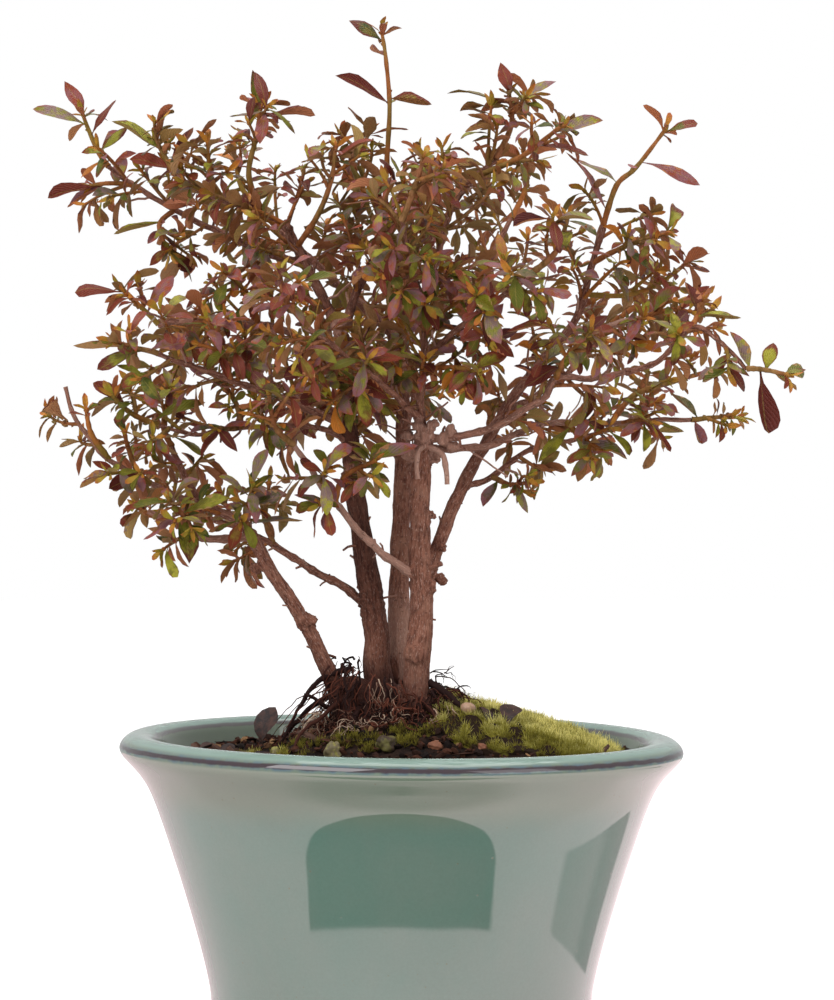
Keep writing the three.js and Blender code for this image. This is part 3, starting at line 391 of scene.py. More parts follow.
# ---- Drainage mesh and its clip ----
# A moulded plastic mesh lies over the drain hole, and a bent wire through it grips the pot's floor.
MESH_HOLD = 14  # the soil keeps clear of the mesh by this radius


def two_toned(name, roughness, scale, detail, dark, pale, strength, distance):
    """A material whose colour and fine relief follow the same noise."""
    material, tree, shader, place = finish_of(name, roughness)
    mottle = speckled(tree, place, scale, detail)
    coloured(tree, shader, blended(tree, mottle, dark, pale))
    bumped(tree, shader, mottle, strength, distance)
    return material


mesh_black = two_toned("mesh_black", 0.55, 900, 4, (0.02, 0.022, 0.02), (0.05, 0.053, 0.05), 0.3, 0.0002)
wire_grey, tree, shader, place = finish_of("wire_grey", 0.35)
drawn = speckled(tree, place, 1500)
coloured(tree, shader, blended(tree, drawn, (0.5, 0.5, 0.5), (0.66, 0.66, 0.66)))
shader.inputs["Metallic"].default_value = 1
for name, material in (("drainage_mesh", mesh_black), ("mesh_clip", wire_grey)):
    cad_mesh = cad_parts[name].data
    cad_mesh.materials.clear()
    cad_mesh.materials.append(material)

# ---- Soil ----
# Dark, coarse potting soil with bark crumbs fills the pot, and is heaped up under the stems. The body is one
# closed mesh down to the pot's floor, and crumbs and shreds of bark lie loose on its top.
SOIL_EDGE, SOIL_RISE, SOIL_PEAK_X, SOIL_RADIUS = 106, 22.5, 4, 86.7
SOIL_SLOPE, SLOPE_SKEW = 0.3375, 0.0375  # it falls off more gently to the right
POT_FLOOR, OVER_CLIP = 12, 15.4  # the heights of the floor, and of the soil's underside over the mesh and its clip
MOSS_CENTRE, MOSS_HALF, MOSS_THICK = (41, -8), (35, 38), 3.6
CLEARANCE = 0.3


def seeded(seed):
    """Repeatable draws between 0 and 1."""
    state = seed

    def draw():
        nonlocal state
        state = (state * 1664525 + 1013904223) % 2**32
        return state / 2**32
    return draw


def paint(red, green, blue):
    """A colour on a screen's 0 to 255 scale, as the linear values that a shader takes."""
    return tuple((value / 255 + 0.055) ** 2.4 / 1.055**2.4 if value > 10 else value / 3294.6
                 for value in (red, green, blue))


def ruffle(x, y, z, scale):
    """Smooth noise between about -1 and 1, at a place in millimetres and a grain size in millimetres."""
    return noise.noise(Vector((x, y, z)) / scale)


def all_round(sides):
    """The turns of so many points, evenly round a circle."""
    return np.arange(sides) * 2 * math.pi / sides


def soil_height(x, y):
    across = x - SOIL_PEAK_X
    away = math.hypot(across, y)
    slope = SOIL_SLOPE - (SLOPE_SKEW * across / away if away > 0 else 0)
    lumps = 0.7 * math.sin(x * 0.31 + 1) * math.cos(y * 0.27) + 0.4 * math.sin(x * 0.13 - y * 0.17)
    return SOIL_EDGE + max(0, SOIL_RISE - slope * away) + lumps


def moss_edge(turn):
    return 1 + 0.07 * math.sin(3 * turn + 1) + 0.05 * math.sin(5 * turn)


def moss_reach(x, y):
    """0 at the middle of the moss and 1 at its edge."""
    across, over = (x - MOSS_CENTRE[0]) / MOSS_HALF[0], (y - MOSS_CENTRE[1]) / MOSS_HALF[1]
    return math.hypot(across, over) / moss_edge(math.atan2(over, across))


def mesh_from(name, points, faces, *materials, smooth=None):
    """An object from points in millimetres and faces, smooth up to an angle in degrees between its faces."""
    mesh = bpy.data.meshes.new(name)
    mesh.from_pydata((np.asarray(points) * MM).tolist(), [], faces)
    made = new_object(name, mesh, *materials)
    if smooth:
        bpy.context.view_layer.objects.active = made
        made.select_set(True)
        bpy.ops.object.shade_smooth_by_angle(angle=math.radians(smooth))
        made.select_set(False)
    return made


def belongs(piece, slot, *replaced):
    """The piece rides on the part's one body and stands for CAD nodes; the slot that it is given is not used."""
    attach(piece, "root")
    if replaced:
        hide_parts(*replaced)


def lathe_faces(rings, sides):
    """The faces of a turned solid between two end points: the rings' points come first, then the two ends."""
    faces = []
    for ring in range(rings - 1):
        for side in range(sides):
            beside = (side + 1) % sides
            faces.append((ring * sides + side, ring * sides + beside,
                          (ring + 1) * sides + beside, (ring + 1) * sides + side))
    first, last = rings * sides, rings * sides + 1
    for side in range(sides):
        beside = (side + 1) % sides
        faces.append((first, beside, side))
        faces.append((last, (rings - 1) * sides + side, (rings - 1) * sides + beside))
    return faces


def copies(shape, faces, placings):
    """Many copies of a small shape in one mesh: each placing is a 3 by 3 matrix and a place."""
    shape = np.asarray(shape, float)
    points = np.concatenate([shape @ matrix.T + place for matrix, place in placings])
    count = len(shape)
    return points, [tuple(corner + i * count for corner in face) for i in range(len(placings)) for face in faces]


def turned(heading, tilt, roll, sizes):
    """The matrix of a shape with these sizes, rolled, tilted, and then turned to its heading."""
    ch, sh, ct, st, cr, sr = (f(a) for a in (heading, tilt, roll) for f in (math.cos, math.sin))
    head = np.array([[ch, -sh, 0], [sh, ch, 0], [0, 0, 1]])
    lean = np.array([[ct, 0, st], [0, 1, 0], [-st, 0, ct]])
    spin = np.array([[1, 0, 0], [0, cr, -sr], [0, sr, cr]])
    return head @ lean @ spin @ np.diag(sizes)


def tint_by_copy(piece, count, shades):
    """Stores one shade between 0 and 1 for each copy, on all of its points."""
    store(piece.data, "shade", "FLOAT", "value", np.repeat(np.asarray(shades, np.float32), count))


def strewn(name, shape, shape_faces, placings, draw, material, slot):
    """A piece of many copies of a small shape, each with a drawn shade."""
    points, faces = copies(shape, shape_faces, placings)
    piece = mesh_from(name, points, faces, material)
    tint_by_copy(piece, len(shape), [draw() for _ in placings])
    belongs(piece, slot)


def shade_of(tree):
    return node(tree, "Attribute", {"attribute_name": "shade"}).outputs["Fac"]


soil_dark, tree, shader, place = finish_of("soil_dark", 0.95)
clods = speckled(tree, place, 160, 6)
fine = speckled(tree, place, 900, 4)
colour = blended(tree, stepped(tree, clods, 0.35, 0.68), paint(20, 12, 10), paint(48, 31, 24))
colour = blended(tree, times(tree, stepped(tree, fine, 0.62, 0.74), 0.5), colour, paint(104, 74, 50))
coloured(tree, shader, colour, 0.2)
bumped(tree, shader, fine, 0.9, 0.001)

SOIL_SIDES, SOIL_STEP = 200, 1.3
soil_side = [(MESH_HOLD, OVER_CLIP), (MESH_HOLD, POT_FLOOR + CLEARANCE), (57, POT_FLOOR + CLEARANCE), (61.7, 15.4),
             (65.3, 24), (68.3, 41), (72.3, 56.5), (77.5, 74.3), (83.6, 93.5), (86, 101)]
top_rings = np.arange(SOIL_RADIUS, SOIL_STEP, -SOIL_STEP)
points = [(r * math.cos(turn), r * math.sin(turn), z) for r, z in soil_side for turn in all_round(SOIL_SIDES)]
for r in top_rings:
    for turn in all_round(SOIL_SIDES):
        x, y = r * math.cos(turn), r * math.sin(turn)
        bare = min(1, max(0, moss_reach(x, y) - 0.85) * 5)
        rough = 0.9 * ruffle(x, y, 0, 5) + 0.9 * ruffle(x, y, 9, 2.2)
        points.append((x, y, soil_height(x, y) + rough * bare - 0.3))
points += [(0, 0, OVER_CLIP), (0, 0, soil_height(0, 0))]
soil = mesh_from("soil_mound", points, lathe_faces(len(soil_side) + len(top_rings), SOIL_SIDES), soil_dark, smooth=60)
belongs(soil, "soil", "soil")

CRUMB_COUNT, SHRED_COUNT, SHRED_REACH = 2600, 190, 80
crumb_brown, tree, shader, place = finish_of("crumb_brown", 0.9)
shade = shade_of(tree)
colour = blended(tree, stepped(tree, shade, 0.1, 0.8), paint(22, 13, 11), paint(76, 46, 34))
colour = blended(tree, stepped(tree, shade, 0.9, 0.95), colour, paint(150, 116, 82))
grit = speckled(tree, place, 1400, 3)
colour = grained(tree, 0.45, colour, grit, (0.25, 0.2, 0.18), (1.6, 1.5, 1.4))
coloured(tree, shader, colour, 0.2)
bumped(tree, shader, grit, 0.6, 0.0005)
draw = seeded(71)
bpy.ops.mesh.primitive_ico_sphere_add(subdivisions=1, radius=1)
ball = bpy.context.object
crumb_shape = np.array([np.array(vertex.co) * (0.75 + 0.5 * draw()) for vertex in ball.data.vertices])
crumb_faces = [tuple(face.vertices) for face in ball.data.polygons]
bpy.data.objects.remove(ball)
placings = []
while len(placings) < CRUMB_COUNT:
    away, turn = SOIL_RADIUS * math.sqrt(draw()), 2 * math.pi * draw()
    size = 0.45 + 1.5 * draw() ** 3
    matrix = turned(6.28 * draw(), draw() - 0.5, 6.28 * draw(), (size * (0.8 + draw()), size * 1.1, size * 0.7))
    x, y = (away - 2) * math.cos(turn), (away - 2) * math.sin(turn)
    if moss_reach(x, y) > 0.93 or draw() > 0.9:
        placings.append((matrix, (x, y, soil_height(x, y) + size * 0.3)))
strewn("soil_crumbs", crumb_shape, crumb_faces, placings, draw, crumb_brown, "soil")

# shreds of bark: a flat splinter, pointed at both ends
shred_shape = [(-1, 0, 0), (-0.4, -1, 0.2), (0.5, -0.8, -0.2), (1, 0.1, 0), (0.4, 1, 0.2), (-0.5, 0.8, -0.1),
               (0, 0, 1.1), (0, 0, -1.1)]
shred_faces = [(i, (i + 1) % 6, 6) for i in range(6)] + [((i + 1) % 6, i, 7) for i in range(6)]
placings = []
for _ in range(SHRED_COUNT):
    away, turn = SHRED_REACH * math.sqrt(draw()), 2 * math.pi * draw()
    x, y = away * math.cos(turn), away * math.sin(turn)
    matrix = turned(6.28 * draw(), 0.5 * (draw() - 0.5), draw() - 0.5, (2 + 3.5 * draw(), 0.5 + 1.1 * draw(), 0.35))
    placings.append((matrix, (x, y, soil_height(x, y) + 1.1)))
strewn("bark_shreds", shred_shape, shred_faces, placings, draw, crumb_brown, "chip")

# ---- Moss ----
# A living cushion of moss on the right and front of the mound. A soft mat is covered with thousands of tiny
# feathery shoots, dark at the foot and pale at their tips, with brown gaps in it towards the front. The pale
# tips are partly a painted highlight, and the shoots are darker towards the front by painted shade.
moss_green, tree, shader, place = finish_of("moss_green", 0.85)
patch = speckled(tree, place, 70, 4)
shade = shade_of(tree)
growth_and_painted_light = plus(tree, times(tree, patch, 0.45), times(tree, shade, 0.65))
colour = blended(tree, stepped(tree, growth_and_painted_light, 0.22, 0.5), paint(60, 46, 22), paint(146, 138, 54))
# the palest tone, at the shoots' tips, is partly their own colour and partly a painted highlight
colour = blended(tree, stepped(tree, growth_and_painted_light, 0.46, 0.8), colour, paint(246, 236, 150))
colour = blended(tree, stepped(tree, shade, 0.02, 0.1), paint(40, 28, 20), colour)
coloured(tree, shader, colour, 0.1)
bumped(tree, shader, speckled(tree, place, 1600, 3), 0.6, 0.0006)


def on_moss(reach, turn):
    return (MOSS_CENTRE[0] + reach * MOSS_HALF[0] * math.cos(turn),
            MOSS_CENTRE[1] + reach * MOSS_HALF[1] * math.sin(turn))


def moss_gap(x, y):
    """Whether the moss has died back to brown: more of it towards the left and the front."""
    return ruffle(x, y, 40, 7) + 0.3 * ruffle(x, y, 11, 2.5) < 0.1 - 0.9 * min(1, max(0, (x - 33 + 0.3 * y) / 15))


def moss_top(x, y):
    reach = moss_reach(x, y)
    cushion = 1.6 * ruffle(x, y, 3, 9) + 0.9 * ruffle(x, y, 7, 4)
    swell = (MOSS_THICK - 1) * max(0, 1 - reach**3) + 0.5 * math.sin(x * 0.9) * math.cos(y * 0.8)
    return soil_height(x, y) + CLEARANCE + 1 + swell + cushion * max(0, 1 - reach**6)


MOSS_SIDES, MOSS_RINGS = 110, 34
points = []
for share, sink in [(1, -4)] + [(share, 0) for share in np.linspace(1, 1 / MOSS_RINGS, MOSS_RINGS)]:
    for turn in all_round(MOSS_SIDES):
        x, y = on_moss(share * moss_edge(turn), turn)
        points.append((x, y, soil_height(x, y) + sink if sink else moss_top(x, y)))
points += [(*MOSS_CENTRE, soil_height(*MOSS_CENTRE) - 4), (*MOSS_CENTRE, moss_top(*MOSS_CENTRE))]
moss = mesh_from("moss_mat", points, lathe_faces(1 + MOSS_RINGS, MOSS_SIDES), moss_green, smooth=60)
tint_by_copy(moss, 1, [0.0 if moss_gap(x, y) else 0.22 for x, y, _ in points])
belongs(moss, "moss", "moss")

SHOOT_COUNT = 5000
SPIKE_FOOT, SPIKE_SINK = 0.085, 0.1  # of a leaflet as long as 1: the radius of its foot, and how deep that lies
# a shoot: one upright and six leaning leaflets, each a slim three-sided spike
shoot_shape, shoot_tint, shoot_faces = [], [], []
for lean, turn in [(0.1, 0)] + [(0.6 + 0.4 * (k % 2), 1.05 * k) for k in range(6)]:
    foot = len(shoot_shape)
    for corner in range(3):
        round_foot = 2.09 * corner + turn
        shoot_shape.append((SPIKE_FOOT * math.cos(round_foot), SPIKE_FOOT * math.sin(round_foot), -SPIKE_SINK))
    reach = 1 if lean > 0.5 else 1.25
    shoot_shape.append((reach * math.sin(lean) * math.cos(turn), reach * math.sin(lean) * math.sin(turn),
                        reach * math.cos(lean)))
    # the foot is darker than the tip; the pale tip is partly a painted highlight
    shoot_tint += [0.3, 0.3, 0.3, 1]
    shoot_faces += [(foot + k, foot + (k + 1) % 3, foot + 3) for k in range(3)] + [(foot + 2, foot + 1, foot)]
# tufts beside the mat: x, y, radius and count
MOSS_TUFTS = [(2, -44, 4, 50), (9, -36, 4, 30), (-11, -45, 3, 20), (18, -30, 5, 60), (14, -18, 5, 50),
              (-34, -40, 3, 20), (-5, -45, 3, 20), (16, -8, 4, 40), (-30, -30, 4, 20), (70, 12, 7, 60),
              (-20, 50, 9, 80), (10, 60, 8, 70), (-20, -33, 6, 50), (-46, -30, 6, 45), (0, -33, 5, 45),
              (-10, -38, 5, 35), (-38, -22, 6, 40), (-56, -14, 6, 40), (20, -20, 6, 60)]
draw = seeded(17)
spots = []
while len(spots) < SHOOT_COUNT:
    reach, turn = math.sqrt(draw()) * 1.02, 2 * math.pi * draw()
    edge = moss_edge(turn) * (reach + 0.05 * (draw() - 0.5))
    x, y = on_moss(edge, turn)
    if not moss_gap(x, y) or draw() < 0.08:
        spots.append((x, y, moss_top(x, y) - 0.2))
for tuft_x, tuft_y, radius, count in MOSS_TUFTS:
    for _ in range(count):
        away, turn = radius * math.sqrt(draw()), 2 * math.pi * draw()
        x, y = tuft_x + away * math.cos(turn), tuft_y + away * math.sin(turn)
        spots.append((x, y, soil_height(x, y) + 1.2 * (1 - away / radius) + 0.2))
placings = []
for spot in spots:
    size = 1.4 + 1.6 * draw() ** 1.5
    tall = size * (0.7 + 0.9 * draw() ** 1.5)
    placings.append((turned(6.28 * draw(), 1.1 * (draw() - 0.5), 1.1 * (draw() - 0.5), (size, size, tall)), spot))
points, faces = copies(shoot_shape, shoot_faces, placings)
shoots = mesh_from("moss_shoots", points, faces, moss_green)
# each shoot's tone: darker outside the mat and in its gaps, paler at random, and darker towards the front, which is
# painted shade
bright = [((0.2 if moss_reach(*spot[:2]) > 1 or moss_gap(*spot[:2]) else 0.5) + 0.5 * draw())
          * (0.74 + 0.42 * min(1, max(0, (spot[1] + 33) / 16))) for _, spot in placings]
tint_by_copy(shoots, 1, np.outer(bright, shoot_tint).ravel())
belongs(shoots, "moss")

# ---- Pebbles and a seed ----
# Loose things that lie on the mound and the moss: water-worn pebbles, mossy, dark or reddish, and a tan seed with
# a smoother skin.
stone_worn, tree, shader, place = finish_of("stone_worn", 0.6)
band = speckled(tree, place, 300, 5)
colour = blended(tree, band, paint(84, 74, 50), paint(140, 128, 92))
growth = stepped(tree, speckled(tree, place, 420, 4), 0.5, 0.62)
colour = blended(tree, times(tree, growth, 0.7), colour, paint(150, 146, 62))
coloured(tree, shader, colour)
bumped(tree, shader, band, 0.8, 0.001)
stone_dark, tree, shader, place = finish_of("stone_dark", 0.7)
band = speckled(tree, place, 500, 5)
growth = stepped(tree, speckled(tree, place, 260, 4), 0.45, 0.6)
colour = blended(tree, growth, blended(tree, band, paint(32, 24, 20), paint(84, 64, 46)), paint(96, 90, 40))
coloured(tree, shader, colour)
bumped(tree, shader, band, 0.5, 0.0005)
stone_red = two_toned("stone_red", 0.7, 500, 5, paint(92, 50, 34), paint(150, 96, 66), 0.5, 0.0005)
seed_tan = two_toned("seed_tan", 0.5, 900, 3, paint(138, 104, 80), paint(196, 160, 134), 0.3, 0.0003)

# x, y, half sizes in x, y and z, turn, material, slot, and the node that it replaces
for name, x, y, half, turn, material, slot, replaced in (
    ("pebble_mossy_worn", -23.5, -44, (3.2, 3, 3.6), 0.4, stone_worn, "pebble", "pebble_mossy"),
    ("pebble_dark_worn", -5, -45, (4.4, 3.6, 3.2), 1.2, stone_dark, "pebble", "pebble_dark"),
    ("seed", 23.7, -22, (2.7, 2.1, 2), 0.3, seed_tan, "chip", None),
    ("stone_left", -44.5, -24, (1.9, 1.8, 2.3), 0.9, stone_worn, "pebble", None),
    ("stone_front", 12, -45, (2.6, 2.2, 1.8), 0.2, stone_red, "pebble", None),
    ("stone_small", 28, -44, (2.4, 2, 1.6), 1.4, stone_red, "pebble", None),
    ("stone_far", -40, 34, (4, 3.2, 2.6), 2.1, stone_worn, "pebble", None),
    ("stone_back", 22, 52, (3.6, 3, 2.4), 0.7, stone_dark, "pebble", None),
):
    bpy.ops.mesh.primitive_ico_sphere_add(subdivisions=4, radius=1)
    stone = bpy.context.object
    stone.name = stone.data.name = name
    matrix = turned(turn, 0.1, 0.1, half)
    ground = moss_top(x, y) + 1 if name == "seed" else soil_height(x, y)
    centre = np.array((x, y, ground + half[2] * 0.5))
    for vertex in stone.data.vertices:
        at = vertex.co + Vector((x, y, 0))
        uneven = 0.3 * noise.noise(at * 1.1) + 0.16 * noise.noise(at * 2.6) + 0.06 * noise.noise(at * 6)
        worn = 1.02 + (0.3 if name == "seed" else 1) * uneven
        vertex.co = Vector(matrix @ np.array(vertex.co) * worn + centre) * MM
    stone.data.materials.append(material)
    bpy.ops.object.shade_smooth()
    stone.select_set(False)
    belongs(stone, slot, *([replaced] if replaced else []))

# ---- Wood: stems and root crown ----
# Five slender stems stand on one gnarled root crown. They are blended into one skin by remeshing, and then the
# bark gets its long furrows, swellings and scars. Each limb: start and end radius, and points [x, z, depth].
STEMS = {
    "stem_left": (3.1, 2.3, [(-21, 116, -6), (-24.5, 131, -5), (-28, 140, -6), (-32.5, 150, -7), (-38.5, 160, -9),
                             (-45.5, 170, -11), (-51, 180, -13), (-55, 187, -15)]),
    "stem_back_left": (5.4, 2.7, [(-5, 118, 2), (-9, 138, 2), (-9, 150, 2.5), (-11, 165, 3), (-13.5, 180, 4),
                                  (-16.5, 200, 5), (-18.5, 220, 6), (-20, 240, 7), (-22, 262, 8)]),
    "fork_left": (2.3, 1.4, [(-21.5, 258, 8), (-30, 275, 10), (-38, 290, 13), (-42, 300, 16)]),
    "fork_right": (2, 1.2, [(-21.5, 258, 8), (-15, 277, 14), (-8, 290, 20), (-6, 305, 24)]),
    "stem_back": (4.3, 2.4, [(1, 118, 13), (-1, 143, 14.5), (-0.5, 180, 17), (0, 200, 19), (0.5, 215, 21),
                             (0, 240, 26), (-3, 262, 32)]),
    "stem_front": (5.4, 3.4, [(2, 114, -10), (4.8, 128, -11), (5.5, 140, -11), (7.2, 160, -11), (6.7, 180, -11),
                              (6.8, 200, -11), (8, 221, -11)]),
    "stem_right": (2.9, 1.3, [(7, 168, -10), (11, 176, -7), (18, 195, -1), (26, 212, 5), (30, 218, 8),
                              (38, 232, 14), (50, 248, 20), (62, 262, 24), (68, 280, 28), (73, 298, 30)]),
}
BRANCHES = {
    "left_stub": (1.6, 1, [(-54, 186, -15), (-65, 184.5, -20), (-73, 186, -24), (-80, 189, -27), (-92, 195, -31)]),
    "left_riser": (1.8, 1, [(-54, 186, -15), (-60, 192, -14), (-73, 198, -9), (-80, 211, -3), (-83, 218, 0)]),
    "left_bare": (1.2, 0.7, [(-73, 198, -9), (-80, 200, -12), (-91, 205, -16), (-105, 213, -20),
                             (-112, 220, -22), (-118, 229, -24), (-121.5, 240, -25)]),
    "side_left": (1.7, 1, [(-11, 159, 3), (-20, 166, 6), (-30, 171.5, 10), (-46, 182, 16), (-58, 188, 24),
                           (-70, 192, 34)]),
    "leader": (1.7, 1, [(8, 218, -11), (7, 230, -12), (7.5, 240, -13), (8, 255, -14), (9, 275, -15)]),
    "cross_twig": (1.6, 0.9, [(5, 171, -12), (-5, 178, -17), (-12, 184, -20), (-20, 193, -23), (-28, 203, -28),
                              (-39, 219, -37)]),
    "right_one": (1.5, 1, [(9, 221, -12), (20, 222, -15), (35, 226, -21), (50, 235, -28), (56, 243, -31),
                           (70, 243, -24), (82, 245, -22)]),
    "right_two": (1.4, 0.8, [(9, 217, -10), (28, 218, -8), (43, 223, -5), (55, 227, -5), (70, 226.5, -8),
                             (85, 227, -12), (105, 228, -18)]),
    "right_three": (1.2, 0.7, [(21, 203, 1), (33, 207, 6), (45, 216, 12), (60, 220, 20), (76, 224, 30)]),
    "far_right": (1.1, 0.7, [(81, 245, -22), (90, 248, -25), (96, 252, -29), (105, 261.5, -33),
                             (114, 257, -37), (125, 246.5, -41)]),
    "pale_stub": (1.4, 1, [(61, 260, 24), (70, 260, 20), (80, 263, 15), (88, 265, 12)]),
    "crown_left": (1.4, 0.9, [(-40, 296, 14), (-52, 303, 22), (-70, 309, 32), (-82, 316, 38)]),
    "crown_far_left": (1.4, 0.9, [(-35, 284, 12), (-50, 288.5, 24), (-60, 293, 34), (-78, 301, 48),
                                  (-97, 312, 56), (-106, 319, 58)]),
    "back_left": (1.8, 0.9, [(-2, 258, 31), (-25, 278, 48), (-40, 292, 62), (-50, 302, 72)]),
    "back_right": (1.7, 0.9, [(-2, 258, 31), (12, 266, 42), (28, 280, 56), (40, 300, 66)]),
    "back_middle": (1.5, 0.8, [(0, 222, 22), (5, 236, 44), (2, 250, 64), (0, 262, 80)]),
    "back_low_left": (1.4, 0.8, [(0, 214, 21), (-20, 228, 38), (-45, 240, 54), (-64, 250, 66)]),
    "back_low_right": (1.4, 0.8, [(36, 230, 13), (52, 238, 34), (66, 250, 52), (76, 262, 64)]),
    "front_left": (1.3, 0.8, [(7, 228, -12), (-6, 240, -28), (-22, 252, -46), (-34, 262, -60)]),
    "front_right": (1.2, 0.8, [(8, 250, -14), (22, 262, -30), (36, 272, -46), (48, 282, -58)]),
    "front_top": (1.1, 0.7, [(8.5, 262, -14), (6, 276, -30), (2, 288, -46), (0, 300, -56)]),
    "left_front": (1.6, 0.8, [(-18.5, 225, 6), (-35, 232, -10), (-55, 240, -24), (-75, 247, -34), (-88, 252, -40)]),
    "left_middle": (1.5, 0.9, [(-20, 245, 7), (-35, 256, 12), (-50, 262, 18), (-72, 263.5, 26), (-88, 262, 30)]),
    "left_dark": (1.1, 0.6, [(-18, 218, 6), (-30, 225, 0), (-55, 225, -8), (-75, 223, -12), (-88, 226, -16)]),
    "top_right": (1.2, 0.8, [(9, 272, -15), (14, 292, -12), (20, 308, -6), (34, 322, 0)]),
    "burl_stub": (1.1, 0.9, [(9, 218, -13), (15, 215, -17), (16, 205, -18)]),
    "low_stub": (1, 0.8, [(8, 218, -13), (6, 216, -18.5), (6, 206, -19.5)]),
    "orange_stub": (1, 0.8, [(8, 173, -13), (14.5, 176, -16)]),
}
# knobs, burls and cut ends: x, z, depth, radius
KNOBS = [(8, 222, -14, 3.2), (15, 221, -13, 2.6), (3, 216, -13, 2.8), (12, 215, -10, 2.8), (10, 168, -13, 2.3),
         (-22, 262, 8, 2.9), (-53, 174, -12, 2.1), (-33, 155, -8, 2.6), (-12, 162, 1, 3.6), (-19, 206, 3, 2.8),
         (11, 193, -8, 1.8), (5, 143, -13, 4.4), (11, 226, -14, 2.2), (18, 224, -15, 2), (6, 226, -15, 2.2),
         (19, 218, -13, 2), (2, 222, -13, 2.2), (15, 182, -9, 1.8), (14, 170, -8, 2.2)]
# lumps of the root crown: centre x, z and depth, and half sizes in x, y and z
CROWN_LUMPS = [((-6, 120, 0), (17, 13, 13)), ((-17, 124, -5), (9, 8, 11)), ((4, 122, -8), (10, 9, 10))]
BARK_STEP = 0.62  # the remeshed skin's cell
LIMB_APART = 60  # how far apart the grain of two stems starts, so that it doesn't match


def front(point):
    """A crown point carried out along the line of sight from the eye."""
    x, z, depth = point
    spread = 1 + depth / EYE_DISTANCE
    return np.array((EYE_X + (x - EYE_X) * spread, depth, EYE_Z + (z - EYE_Z) * spread))


def unit(vector):
    return vector / np.linalg.norm(vector)


def square_to(along):
    """Two directions square to a line."""
    helper = (1, 0, 0) if abs(along[2]) > 0.95 else (0, 0, 1)
    across = unit(np.cross(along, helper))
    return across, np.cross(along, across)


def distances(chain):
    """How far along a chain each of its points lies."""
    return np.append(0, np.cumsum(np.linalg.norm(np.diff(chain, axis=0), axis=1)))


def tube(chain, radii, sides, knobbly=0.0, grain_from=0.0):
    """A closed limb along a chain of points: its points, its faces, and each point's place in the grain."""
    chain = np.asarray(chain, float)
    ahead = np.gradient(chain, axis=0)
    travelled = grain_from + distances(chain)
    across = square_to(unit(ahead[0]))[0]
    points, grain = [], []
    for place, along, radius, s in zip(chain, ahead, radii, travelled):
        along = unit(along)
        across = unit(across - along * (across @ along))
        over = np.cross(along, across)
        for turn in all_round(sides):
            a, o = radius * math.cos(turn), radius * math.sin(turn)
            rise = 1 + knobbly * (ruffle(a, o, s, 2.6) + 0.6 * ruffle(0, 0, s, 5))
            points.append(place + (a * across + o * over) * rise)
            grain.append((a, o, s))
    faces = []
    last = len(chain) - 1
    for i in range(last):
        for side in range(sides):
            beside = (side + 1) % sides
            faces.append((i * sides + side, i * sides + beside, (i + 1) * sides + beside, (i + 1) * sides + side))
    faces.append(tuple(reversed(range(sides))))
    faces.append(tuple(last * sides + side for side in range(sides)))
    return points, faces, grain


def gathered(shapes):
    """Several (points, faces, values) shapes as one."""
    points, faces, values = [], [], []
    for shape_points, shape_faces, shape_values in shapes:
        faces += [tuple(corner + len(points) for corner in face) for face in shape_faces]
        points += list(shape_points)
        values += list(shape_values)
    return points, faces, values


def limb_curve(points, steps):
    return np.array(rounded([front(point) for point in points], steps))


def store_grain(piece, grain):
    store(piece.data, "grain", "FLOAT_VECTOR", "vector", grain)


def read_all(items, name, width, kind):
    """A value, or a row of them, of each vertex, corner or face of a mesh."""
    values = np.zeros(len(items) * width, kind)
    items.foreach_get(name, values)
    return values.reshape(-1, width)


# Bark: warm brown with fine dark cracks and silvery flecks. Its tone runs from the dark stem behind to the pale
# skin of the worn limbs and of the peeled stubs.
bark, tree, shader, place = finish_of("bark", 0.78)
tone = shade_of(tree)
grain = node(tree, "Attribute", {"attribute_name": "grain"}).outputs["Vector"]
furrow = speckled(tree, grain, 1.2, 5, (1, 1, 0.2), 0.66)
streak = speckled(tree, grain, 3, 4, (1, 1, 0.25), 0.6)
patch = speckled(tree, grain, 0.13, 4)
colour = blended(tree, stepped(tree, furrow, 0.36, 0.6), paint(94, 58, 47), paint(138, 91, 74))
silver = times(tree, stepped(tree, streak, 0.55, 0.68), 0.65)
colour = blended(tree, silver, colour, paint(190, 156, 142))
colour = blended(tree, times(tree, stepped(tree, patch, 0.5, 0.72), 0.4), colour, paint(164, 120, 100))
colour = grained(tree, 1.0, colour, stepped(tree, tone, 0.0, 0.5), (0.3, 0.24, 0.24), (1, 1, 1))
colour = blended(tree, times(tree, stepped(tree, tone, 0.55, 1.0), 0.6), colour,
                 blended(tree, streak, paint(144, 104, 90), paint(218, 180, 162)))
scars = node(tree, "TexVoronoi", Vector=node(tree, "Mapping", Vector=grain, Scale=(0.5, 0.5, 0.9)).outputs[0],
             Scale=0.55).outputs["Distance"]
colour = blended(tree, times(tree, stepped(tree, scars, 0.2, 0.1), 0.5), colour, paint(58, 36, 32))
# the wood is darker low down: from 150 millimetres, and most below 120
darker_below = stepped(tree, node(tree, "SeparateXYZ", Vector=place).outputs[2], 0.15, 0.12)
colour = blended(tree, times(tree, darker_below, 0.6), colour, paint(60, 38, 34))
coloured(tree, shader, colour, 0.15)
relief = plus(tree, furrow, times(tree, streak, 0.5))
bumped(tree, shader, relief, 0.8, 0.0006)

shapes = []
stem_curves = {}
for name, (start, end, points) in STEMS.items():
    curve = stem_curves[name] = limb_curve(points, 6)
    shapes.append(tube(curve, np.linspace(start, end, len(curve)), 20))
